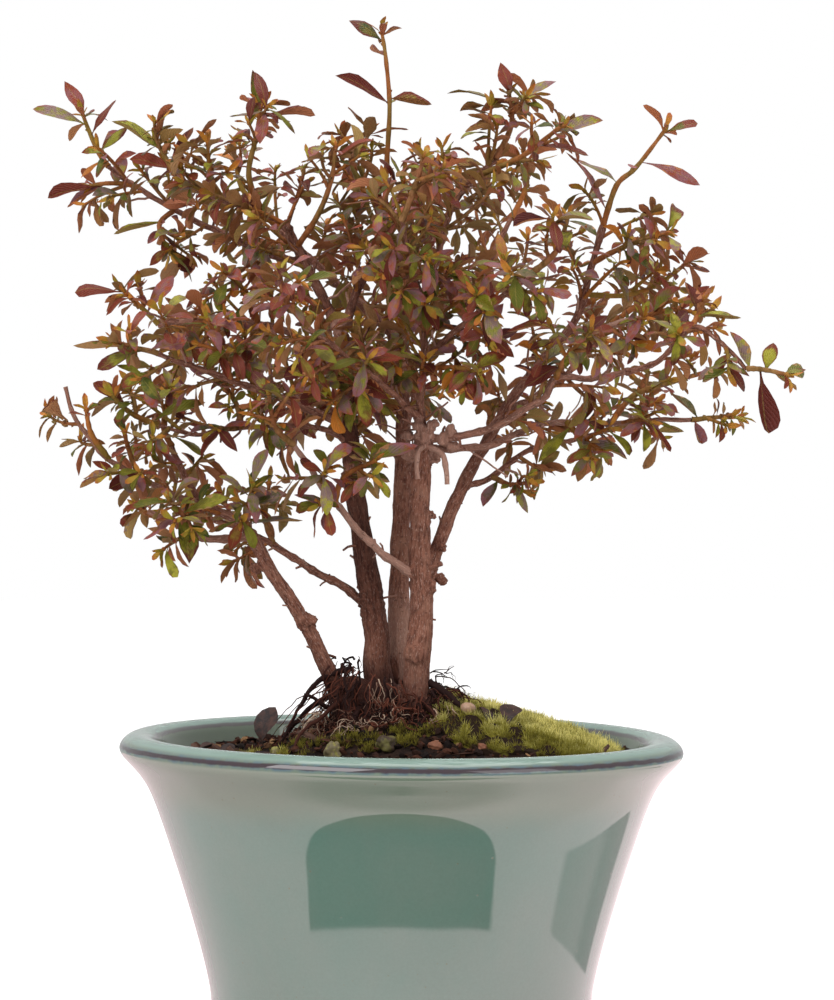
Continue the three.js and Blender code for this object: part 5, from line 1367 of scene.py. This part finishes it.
def single_leaf(stem, single, owner):
    """A leaf from the nearest point of the twig to a stated tip."""
    base_x, base_z, tip_x, tip_z, width, tip_depth = single
    best, best_away = None, math.inf
    for start, end in zip(stem[:-1], stem[1:]):
        for step in range(11):
            point = [value + (to - value) * step / 10 for value, to in zip(start, end)]
            away = math.hypot(point[0] - base_x, point[1] - base_z)
            if away < best_away:
                best, best_away = point, away
    base, curl = front(best), 0.5
    chord = front((tip_x, tip_z, best[2] + tip_depth)) - base
    straight = unit(chord)
    lifted = square_up(np.array((0, -0.5, 0.85)), straight)
    along = straight * math.cos(curl / 2) + lifted * math.sin(curl / 2)
    length = np.linalg.norm(chord) * (curl / 2) / math.sin(curl / 2)
    leaf = {"base": base, "along": along, "up": square_up(lifted, along), "length": length, "width": width,
            "curl": curl}
    add_spots(spots_of(leaf), owner)
    return leaf


def grow_leaves(twig, count, start, draw, owner, size=1.0, **gaps):
    """A whorl of leaves round a twig's end."""
    point, along = along_chain(twig, 1)
    leaves = []
    for k in range(count):
        base = point - along * (0.7 + 1.3 * k)
        lean = 0.55 + 0.75 * draw()
        turn = start + 2.4 * k + 0.5 * draw()
        length = LEAF_LENGTH * (0.62 + 0.5 * draw()) * size
        width = length * (0.27 + 0.12 * draw())
        leaves += place_leaf(base, along, lean, turn, length, width, 0.5 + 0.9 * draw(), owner, **gaps)
    return leaves


def grow_side_twigs(stem, count, draw, owner, low, spread, shortest, longer, **gaps):
    twigs = []
    for _ in range(count):
        point, along = along_chain(stem, low + spread * draw())
        lean, turn, length = 0.7 + 0.35 * draw(), 6.28 * draw(), shortest + longer * draw()
        for attempt in range(TRIES):
            direction = leaning(along, lean, turn + attempt * TRY_TURN)[0]
            twig = [point, point + direction * length]
            if is_clear([along_chain(twig, share)[0] for share in (0.5, 0.75, 1)], owner, **gaps):
                twigs.append(twig)
                add_rods(twig, SIDE_TWIG_RADIUS, SIDE_TWIG_RADIUS, owner)
                break
    return twigs


def grow_along(stem, count, draw, owner, size=1.0, **gaps):
    leaves = []
    for k in range(count):
        point, along = along_chain(stem, 0.45 + 0.45 * (k + draw()) / count)
        lean, turn = 0.95 + 0.4 * draw(), 6.28 * draw()
        length = LEAF_LENGTH * (0.55 + 0.4 * draw()) * size
        width = length * (0.27 + 0.12 * draw())
        leaves += place_leaf(point, along, lean, turn, length, width, 0.5 + 0.8 * draw(), owner, **gaps)
    return leaves


for start, end, points in LIMBS.values():
    add_rods([front(point) for point in points], start, end, WOOD)
for owner, row in enumerate(BRANCHLETS.values()):
    add_rods([front(point) for point in row[1]], TWIG_RADIUS, TWIG_END, owner)
singles = [[single_leaf(row[1], single, owner) for single in row[5]] for owner, row in enumerate(BRANCHLETS.values())]
grown = []
for owner, (name, (warmth, stem_points, side_twigs, whorl, along_count, _)) in enumerate(BRANCHLETS.items()):
    draw, size = seeded(1000 + 37 * owner), SMALL_LEAVED.get(name, 1.0)
    stem = [front(point) for point in stem_points]
    twigs = grow_side_twigs(stem, side_twigs, draw, owner, 0.4, 0.35, 10, 6)
    leaves = grow_leaves(stem, whorl, 6.28 * draw(), draw, owner, size)
    for twig in twigs:
        leaves += grow_leaves(twig, 3, 6.28 * draw(), draw, owner, size)
    leaves += grow_along(stem, along_count, draw, owner, size)
    grown.append({"stem": stem, "twigs": twigs, "leaves": leaves + singles[owner], "warmth": warmth,
                  "size": size, "sparse": whorl < 3})

# smaller leaves and twiglets fill each full branchlet up, by the same rule with draws of their own
CLOSE = {"own": 1.3, "others": 1.6, "limb": 1.0}
for owner, branchlet in enumerate(grown):
    draw, size = seeded(5000 + 53 * owner), branchlet["size"]
    if branchlet["sparse"]:
        branchlet["leaves"] += grow_leaves(branchlet["stem"], 2, 6.28 * draw(), draw, owner, 0.5 * size, **CLOSE)
        continue
    more = grow_side_twigs(branchlet["stem"], 2, draw, owner, 0.3, 0.5, 6, 6, **CLOSE)
    for twig in more:
        branchlet["leaves"] += grow_leaves(twig, 4, 6.28 * draw(), draw, owner, 0.7 * size, **CLOSE)
    branchlet["leaves"] += grow_leaves(branchlet["stem"], 4, 6.28 * draw(), draw, owner, 0.55 * size, **CLOSE)
    for twig in branchlet["twigs"]:
        branchlet["leaves"] += grow_along(twig, 3, draw, owner, 0.75 * size, **CLOSE)
        branchlet["leaves"] += grow_leaves(twig, 3, 6.28 * draw(), draw, owner, 0.55 * size, **CLOSE)
    branchlet["leaves"] += grow_along(branchlet["stem"], 4, draw, owner, 0.75 * size, **CLOSE)
    branchlet["twigs"] += more

# inner sprays: short shoots that rise from the branches in the crown's middle. Each: the limb, the share of it
# where they start and end, how many, and the length of the longest in millimetres.
INNER_SPRAYS = {
    "sprays_middle": [
        ("leader", 0.35, 1, 18, 26), ("front_top", 0.2, 0.95, 14, 22), ("top_right", 0.1, 0.95, 14, 26),
        ("fork_right", 0.25, 1, 17, 26), ("front_right", 0.2, 0.9, 10, 20), ("stem_back_left", 0.68, 1, 12, 24),
        ("front_left", 0.15, 0.9, 10, 22),
    ],
    "sprays_left": [
        ("fork_left", 0.2, 1, 8, 26), ("crown_left", 0.1, 0.9, 7, 22), ("crown_far_left", 0.1, 0.9, 8, 22),
        ("left_middle", 0.3, 0.95, 8, 22), ("front_left", 0.2, 0.95, 7, 20),
    ],
    "sprays_low_left": [
        ("left_front", 0.3, 0.95, 7, 20), ("left_dark", 0.3, 0.95, 6, 18), ("side_left", 0.55, 0.95, 4, 16),
        ("left_riser", 0.3, 0.95, 4, 16), ("left_bare", 0.3, 0.95, 4, 12), ("cross_twig", 0.55, 0.95, 4, 16),
        ("left_stub", 0.45, 0.95, 4, 14),
    ],
    "sprays_right": [
        ("stem_right", 0.4, 1, 10, 26), ("right_one", 0.25, 0.95, 5, 22), ("right_two", 0.25, 0.95, 5, 18),
        ("right_three", 0.25, 0.95, 4, 18), ("far_right", 0.1, 0.9, 4, 12), ("pale_stub", 0.3, 0.95, 3, 18),
    ],
    "sprays_back": [
        ("back_left", 0.15, 0.95, 9, 24), ("back_right", 0.15, 0.95, 9, 24), ("back_middle", 0.3, 0.95, 8, 24),
        ("back_low_left", 0.3, 0.95, 8, 22), ("back_low_right", 0.3, 0.95, 8, 22), ("stem_back", 0.75, 1, 4, 24),
        ("stem_back_left", 0.75, 1, 5, 24),
    ],
}
for owner, (name, rows) in enumerate(INNER_SPRAYS.items(), len(grown)):
    draw = seeded(9000 + 11 * owner)
    spray = {"stem": None, "twigs": [], "leaves": [], "warmth": 0.45}
    for limb_name, low, high, count, longest in rows:
        limb = [front(point) for point in LIMBS[limb_name][2]]
        for _ in range(count):
            twigs = grow_side_twigs(limb, 1, draw, owner, low, high - low, longest * 0.5, longest * 0.5, **CLOSE)
            for twig in twigs:
                spray["twigs"].append(twig)
                spray["leaves"] += grow_leaves(twig, 5, 6.28 * draw(), draw, owner, 0.85, **CLOSE)
                spray["leaves"] += grow_along(twig, 3, draw, owner, 0.85, **CLOSE)
    grown.append(spray)

# A blade's shell: rings of points and a tip, thickest at the rib and thin at its edges. Each ring's point is its
# share of the half width, and its depth below the face in millimetres. The newest leaves have fewer.
BLADE_STATIONS, TUFT_STATIONS = (0, 0.08, 0.2, 0.34, 0.5, 0.66, 0.8, 0.92), (0, 0.15, 0.4, 0.7, 0.9)
BLADE_RING = ((-1, 0), (-0.5, 0), (0, 0), (0.5, 0), (1, 0), (0, 0.45))
TUFT_RING = ((-1, 0), (0, 0), (1, 0), (0, 0.4))
BLADE_KINDS = ((1, 1.05), (1.2, 0.85), (1.5, 0.6))  # lance, egg and spoon shaped: how it widens, and narrows
PETIOLE = 0.4  # half of the leaf stalk's width


def blade_shell(leaf, draw, stations, ring):
    """The leaf's points, and (across, along) for each: folded along its rib, swayed, twisted and waved."""
    widens, narrows = BLADE_KINDS[int(3 * draw() ** 1.4)]
    widest = widens / (widens + narrows)
    most = widest**widens * (1 - widest) ** narrows
    fold, twist, wave, waves = -0.3 + 1.2 * draw(), 1.7 * (draw() - 0.5), 6.28 * draw(), 6 + 6 * draw()
    sway, dip = 0.18 * leaf["length"] * (draw() - 0.5), 0.07 * leaf["length"] * (draw() - 0.5)
    across, depth = np.array(ring).T
    points, places = [], []
    for s in (*stations, 1):
        centre, _, up, right = blade_frame(leaf, s)
        centre = centre + right * sway * s * s + up * dip * math.sin(6.28 * s)
        if s == 1:
            break
        turn = twist * s
        right, up = right * math.cos(turn) + up * math.sin(turn), up * math.cos(turn) - right * math.sin(turn)
        q = max(0, (s - 0.08) / 0.92)
        half = max(PETIOLE * min(1, leaf["width"] / 4), leaf["width"] / 2 * q**widens * (1 - q) ** narrows / most)
        ripple = 0.3 * min(1, half / 2) * np.sin(waves * s + wave + 1.6 * across) * across**2
        rise = fold * half * (np.abs(across) - 0.4) - depth * min(1, half) + ripple
        points += list(centre + np.outer(across * half, right) + np.outer(rise, up))
        places += [(0.5 + share / 2, s) for share in across]
    return points + [centre], places + [(0.5, 1)]


def blade_faces(stations, ring):
    """The shell's faces, and for each 1 on the blade's underside."""
    rings, sides = len(stations), len(ring)
    around = [(k, (k + 1) % sides) for k in range(sides)]
    last = (rings - 1) * sides
    faces = [(i + a, i + b, i + sides + b, i + sides + a) for i in range(0, last, sides) for a, b in around]
    faces += [(last + a, last + b, last + sides) for a, b in around]
    faces.append(tuple(reversed(range(sides))))
    edge = [share for share, _ in ring].index(1)
    return faces, [int(a >= edge) for _ in range(rings) for a, _ in around] + [0]


BLADE_FACES, BLADE_UNDER = blade_faces(BLADE_STATIONS, BLADE_RING)
TUFT_FACES, TUFT_UNDER = blade_faces(TUFT_STATIONS, TUFT_RING)

leaf_skin, tree, shader, place = finish_of("leaf_skin", 0.42)
uv = node(tree, "SeparateXYZ", Vector=node(tree, "UVMap", {"uv_map": "blade"}).outputs[0])
across, along = uv.outputs[0], uv.outputs[1]
leaf_values = node(tree, "Attribute", {"attribute_name": "leaf"})
split = node(tree, "SeparateColor", Color=leaf_values.outputs["Color"])
warmth, under, chance, young = *split.outputs[:3], leaf_values.outputs["Alpha"]
other_chance = calculate(tree, "FRACT", times(tree, chance, 7.0))
mottle = speckled(tree, place, 300, 4)
fine = speckled(tree, place, 1500, 3)
aside = calculate(tree, "ABSOLUTE", calculate(tree, "SUBTRACT", across, 0.5))
edge = stepped(tree, plus(tree, aside, times(tree, mottle, 0.12)), 0.36, 0.56)
tipness = stepped(tree, plus(tree, along, times(tree, mottle, 0.35)), 0.7, 1.2)
green = blended(tree, chance, paint(56, 66, 15), paint(160, 153, 46))
green = blended(tree, stepped(tree, mottle, 0.42, 0.62), green, paint(106, 100, 28))
bronze = blended(tree, other_chance, paint(80, 27, 22), paint(164, 76, 46))
ruddy = plus(tree, times(tree, warmth, 0.8), times(tree, edge, 0.25), times(tree, tipness, 0.4),
             times(tree, mottle, 0.3))
upper = blended(tree, stepped(tree, ruddy, 0.48, 0.78), green, bronze)
# painted sheen: some upper faces take a silvery purple that stands for the gloss of the white room
painted_sheen = times(tree, stepped(tree, other_chance, 0.45, 0.7), stepped(tree, mottle, 0.35, 0.6))
upper = blended(tree, times(tree, painted_sheen, 0.7), upper, paint(132, 98, 110))
upper = blended(tree, stepped(tree, chance, 0.975, 0.98), upper, paint(176, 104, 30))
rib = stepped(tree, aside, 0.05, 0.015)
upper = blended(tree, times(tree, rib, 0.35), upper, paint(150, 128, 64))
lower = blended(tree, chance, paint(166, 128, 90), paint(138, 120, 58))
lower = blended(tree, times(tree, warmth, 0.7), lower, paint(184, 94, 66))
lower = blended(tree, times(tree, rib, 0.5), lower, paint(164, 100, 66))
colour = blended(tree, under, upper, lower)
fresh = blended(tree, chance, paint(196, 126, 50), paint(162, 148, 48))
fresh = blended(tree, times(tree, tipness, 0.7), fresh, paint(176, 76, 46))
colour = blended(tree, young, colour, fresh)
colour = grained(tree, 0.4, colour, fine, (0.4, 0.4, 0.4), (1.5, 1.5, 1.5))
coloured(tree, shader, colour, 0.22)
slant = calculate(tree, "SUBTRACT", times(tree, along, 9.0), times(tree, aside, 7.0))
veins = calculate(tree, "ABSOLUTE", calculate(tree, "SINE", times(tree, slant, math.pi)))
quilt = plus(tree, calculate(tree, "POWER", veins, 0.5), fine)
bumped(tree, shader, quilt, 0.6, 0.0004)

twig_skin, tree, shader, place = finish_of("twig_skin", 0.75)
young = shade_of(tree)
mottle = speckled(tree, place, 420, 4, (1, 1, 0.4))
rough = stepped(tree, mottle, 0.35, 0.65)
old = blended(tree, rough, paint(84, 46, 36), paint(142, 96, 76))
greener = stepped(tree, speckled(tree, place, 60, 2), 0.42, 0.6)
golden = blended(tree, greener, paint(160, 96, 46), paint(134, 106, 44))
golden = blended(tree, rough, blended(tree, 0.5, golden, (0.5, 0.5, 0.5), "MULTIPLY"), golden)
colour = blended(tree, young, old, golden)
coloured(tree, shader, colour, 0.15)
bumped(tree, shader, mottle, 0.8, 0.0005)

BUD_RISE, BUD_GIRTH = (0, 0.25, 0.6, 1), (0.75, 1.15, 0.9, 0.15)
NODULE_STEP = 4.5  # between the old leaf scars along a twig


def leafy_piece(name, branchlet, seed):
    """One mesh of a branchlet's twigs, leaf scars, buds, newest leaves and leaves."""
    draw = seeded(seed)
    shapes, newest = [], []
    chains = [(twig, SIDE_TWIG_RADIUS, 0.5) for twig in branchlet["twigs"]]
    if branchlet["stem"]:
        chains.append((branchlet["stem"], TWIG_RADIUS, TWIG_END * 0.8))
    for chain, start, end in chains:
        curve = np.array(rounded(chain, 7 if len(chain) < 3 else 6))
        bow = jitter(draw) * 2.2
        shares = np.linspace(0, 1, len(curve))
        curve = curve + np.sin(shares * math.pi)[:, None] * bow
        radii = (start + (end - start) * shares) * (1 + 0.2 * np.sin(shares * 19 + 6 * draw()) ** 4)
        young = 0.35 + 0.65 * draw()
        shapes.append(toned_tube(curve, radii, 6, young, 0.1))
        tip, ahead = curve[-1], unit(curve[-1] - curve[-2])
        for k in range(int(np.linalg.norm(curve[-1] - curve[0]) / NODULE_STEP)):
            spot, along = along_chain(list(curve), min(1, 0.15 + 0.2 * k + 0.1 * draw()))
            out = leaning(along, 0.9, 2.4 * k + draw())[0]
            shapes.append(toned_tube([spot + out * rise for rise in (0, 1.1, 1.7)], (0.6, 0.45, 0.1), 4, young))
        length, girth = 2.2 + 1.4 * draw(), end * (1.1 + 0.4 * draw())
        bud = [tip + ahead * length * (rise - 0.15) for rise in BUD_RISE]
        shapes.append(toned_tube(bud, [girth * share for share in BUD_GIRTH], 6, 1))
        turn = 6.28 * draw()
        for k in range(3):
            direction, up = leaning(ahead, 0.2 + 0.45 * draw(), turn + 2.1 * k)
            length = 4 + 4.5 * draw()
            newest.append({"base": tip - ahead * 0.4, "along": direction, "up": up, "length": length,
                           "width": length * (0.26 + 0.1 * draw()), "curl": 0.3 + 0.6 * draw()})
    points, faces, values = gathered(shapes)
    twig_points, twig_faces = len(points), len(faces)
    places, marks = [], []
    for leaves, stations, ring, shell_faces, unders, young in (
        (branchlet["leaves"], BLADE_STATIONS, BLADE_RING, BLADE_FACES, BLADE_UNDER, 0),
        (newest, TUFT_STATIONS, TUFT_RING, TUFT_FACES, TUFT_UNDER, 1),
    ):
        for leaf in leaves:
            shell, shell_places = blade_shell(leaf, draw, stations, ring)
            offset = len(points)
            points += shell
            faces += [tuple(corner + offset for corner in face) for face in shell_faces]
            places += shell_places
            warm, chance = min(1, max(0, branchlet["warmth"] + 1.1 * (draw() - 0.5))), draw()
            marks += [(warm, below, chance, young) for below in unders]
    piece = mesh_from(name, points, faces, twig_skin, leaf_skin, smooth=70)
    mesh = piece.data
    tint_by_copy(piece, 1, list(values) + [0.0] * (len(points) - twig_points))
    mesh.polygons.foreach_set("material_index", (np.arange(len(faces)) >= twig_faces).astype(np.int32))
    corners = read_all(mesh.loops, "vertex_index", 1, np.int32)[:, 0]
    place_table = np.vstack([np.zeros((twig_points, 2)), np.array(places)])
    uv_map = mesh.uv_layers.new(name="blade")
    uv_map.data.foreach_set("uv", place_table[corners].astype(np.float32).ravel())
    sizes = read_all(mesh.polygons, "loop_total", 1, np.int32)[:, 0]
    per_face = np.vstack([np.zeros((twig_faces, 4)), np.array(marks)])
    store(mesh, "leaf", "FLOAT_COLOR", "color", np.repeat(per_face, sizes, axis=0), "CORNER")
    return piece


for owner, (name, branchlet) in enumerate(zip([*BRANCHLETS, *INNER_SPRAYS], grown)):
    piece = leafy_piece(name + "_leaves" if owner < len(BRANCHLETS) else name, branchlet, 300 + owner)
    slot = "leaf_bronze" if branchlet["warmth"] >= 0.5 else "leaf_green"
    belongs(piece, slot, *([name] if owner < len(BRANCHLETS) else []))

# ---- Bark chips and fallen leaves ----
# Flat chips of pine bark with broken ends, and dead leaves that curled up as they dried, lie on the mound.
chip_brown, tree, shader, place = finish_of("chip_brown", 0.85)
grain = speckled(tree, place, 260, 5, (1, 0.35, 1))
colour = blended(tree, grain, paint(48, 32, 28), paint(104, 70, 54))
colour = blended(tree, stepped(tree, speckled(tree, place, 700, 3), 0.62, 0.7), colour, paint(142, 106, 84))
coloured(tree, shader, colour)
bumped(tree, shader, grain, 0.9, 0.0009)
dead_skin, tree, shader, place = finish_of("dead_skin", 0.65)
dry = speckled(tree, place, 380, 4)
coloured(tree, shader, blended(tree, stepped(tree, dry, 0.35, 0.65), paint(32, 20, 19), paint(70, 43, 35)))
bumped(tree, shader, dry, 0.6, 0.0007)

CHIP_LIFT, CHIP_ARCH, CHIP_THICK = 0.9, 0.8, 0.7
CHIP_STATIONS, CHIP_COLUMNS = 12, 7


def on_mound(x, y, length, width, heading, arch, rise=0):
    """A blade's frame, arched over the soil from one of its ends to the other, or standing up by an angle."""
    def on_soil(away):
        end_x, end_y = x + away * math.cos(heading), y + away * math.sin(heading)
        return np.array((end_x, end_y, soil_height(end_x, end_y) + CHIP_LIFT))
    base = on_soil(0)
    chord = unit(on_soil(length) - base)
    chord = unit(chord * math.cos(rise) + np.array((0, 0, math.sin(rise))))
    raised = square_up(np.array((0, 0, 1.0)), chord)
    along = chord * math.cos(arch / 2) + raised * math.sin(arch / 2)
    return {"base": base, "along": along, "up": square_up(raised, along), "length": length, "width": width,
            "curl": arch}


# x, y, length, width, heading, how it stands up, and the node that it replaces
for name, x, y, length, width, heading, rise, replaced in (
    ("bark_chip_large_split", -50, -24, 17, 10, 2.3, 0, "bark_chip_large"),
    ("bark_chip_small_split", -66, -8, 12, 7, 0.6, 0, "bark_chip_small"),
    ("shard_tall", -57, -30, 7, 4, 2.7, 0.9, None),
    ("shard_low", -71, -14, 6, 4, 2.2, 0.6, None),
    ("shard_outer", -66, -20, 7, 4, 0.3, 0.7, None),
    ("shard_inner", -50, -34, 6, 4, 2.6, 0.5, None),
    ("shard_thin", -61, -26, 8, 3, 2.9, 0.8, None),
    ("shard_rim", -74, -8, 6, 3, 1.8, 0.8, None),
    ("shard_right", 71, -20, 5, 2, 0.4, 1.0, None),
    ("root_cut", -29, -24, 9, 3.5, 2.9, 0.5, None),
    ("chip_back", -30, 52, 13, 8, 0.4, 0, None),
    ("chip_right", 74, 26, 11, 7, 1.9, 0, None),
):
    frame_of_chip = on_mound(x, y, length, width, heading, CHIP_ARCH, rise)
    top, under = [], []
    for s in np.linspace(0, 1, CHIP_STATIONS).tolist():
        centre, _, up, right = blade_frame(frame_of_chip, s)
        rounding = 0.35 + 0.65 * math.sin(math.pi * (0.12 + 0.76 * s)) ** 0.6
        half = width / 2 * rounding * (1 + 0.25 * ruffle(s * 9, x, y, 1.7))
        for across in np.linspace(-1, 1, CHIP_COLUMNS).tolist():
            rough = 0.45 * ruffle(s * length, across * half, x, 1.6)
            spot = centre + right * across * half - up * 0.35 * half * across * across
            top.append(spot + up * rough)
            under.append(spot - up * (CHIP_THICK + 0.3 * ruffle(s * length, across * half, y, 1.9)))
    count = len(top)
    grid = np.arange(count).reshape(CHIP_STATIONS, CHIP_COLUMNS)
    faces = []
    for a in grid[:-1, :-1].ravel().tolist():
        faces.append((a, a + 1, a + CHIP_COLUMNS + 1, a + CHIP_COLUMNS))
        faces.append((count + a, count + a + CHIP_COLUMNS, count + a + CHIP_COLUMNS + 1, count + a + 1))
    rim = np.concatenate([grid[0], grid[1:, -1], grid[-1, -2::-1], grid[-2:0:-1, 0]]).tolist()
    for a, b in zip(rim, rim[1:] + rim[:1]):
        faces.append((b, a, count + a, count + b))
    chip = mesh_from(name, top + under, faces, chip_brown, smooth=45)
    belongs(chip, "chip", *([replaced] if replaced else []))

# x, y, length, width, heading, arch, how it stands up, and the node that it replaces
draw = seeded(83)
for name, x, y, length, width, heading, arch, rise, replaced in (
    ("dead_leaf_curled", -40, -38, 14, 8, 3.5, 0.8, 0, "dead_leaf"),
    ("dead_leaf_moss", 31, -26, 9, 6, 2.4, 1.3, 0.8, None),
    ("dead_leaf_moss_two", 38, -24, 11, 8.5, 1.2, 1.5, 0.95, None),
    ("dead_leaf_left", -63, -22, 9, 5, 1.1, 1.8, 0.5, None),
    ("dead_leaf_crown", -49, -13, 16, 10, 0.5, 1.3, 1.25, None),
    ("dead_leaf_outer", -72, -14, 8, 5, 0.2, 2, 0.6, None),
    ("dead_leaf_back", 16, 44, 13, 7, 2.9, 1.2, 0, None),
):
    leaf = on_mound(x, y, length, width, heading, arch, rise)
    leaf["base"] = leaf["base"] + (0, 0, 1 if moss_reach(x, y) < 1 else 0.3)
    points, _ = blade_shell(leaf, draw, BLADE_STATIONS, BLADE_RING)
    dead = mesh_from(name, points, BLADE_FACES, dead_skin, smooth=70)
    belongs(dead, "chip", *([replaced] if replaced else []))

# ---- Sizes ----
# The dressed part's box: the bounds of all shown objects but the stage.
low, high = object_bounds()
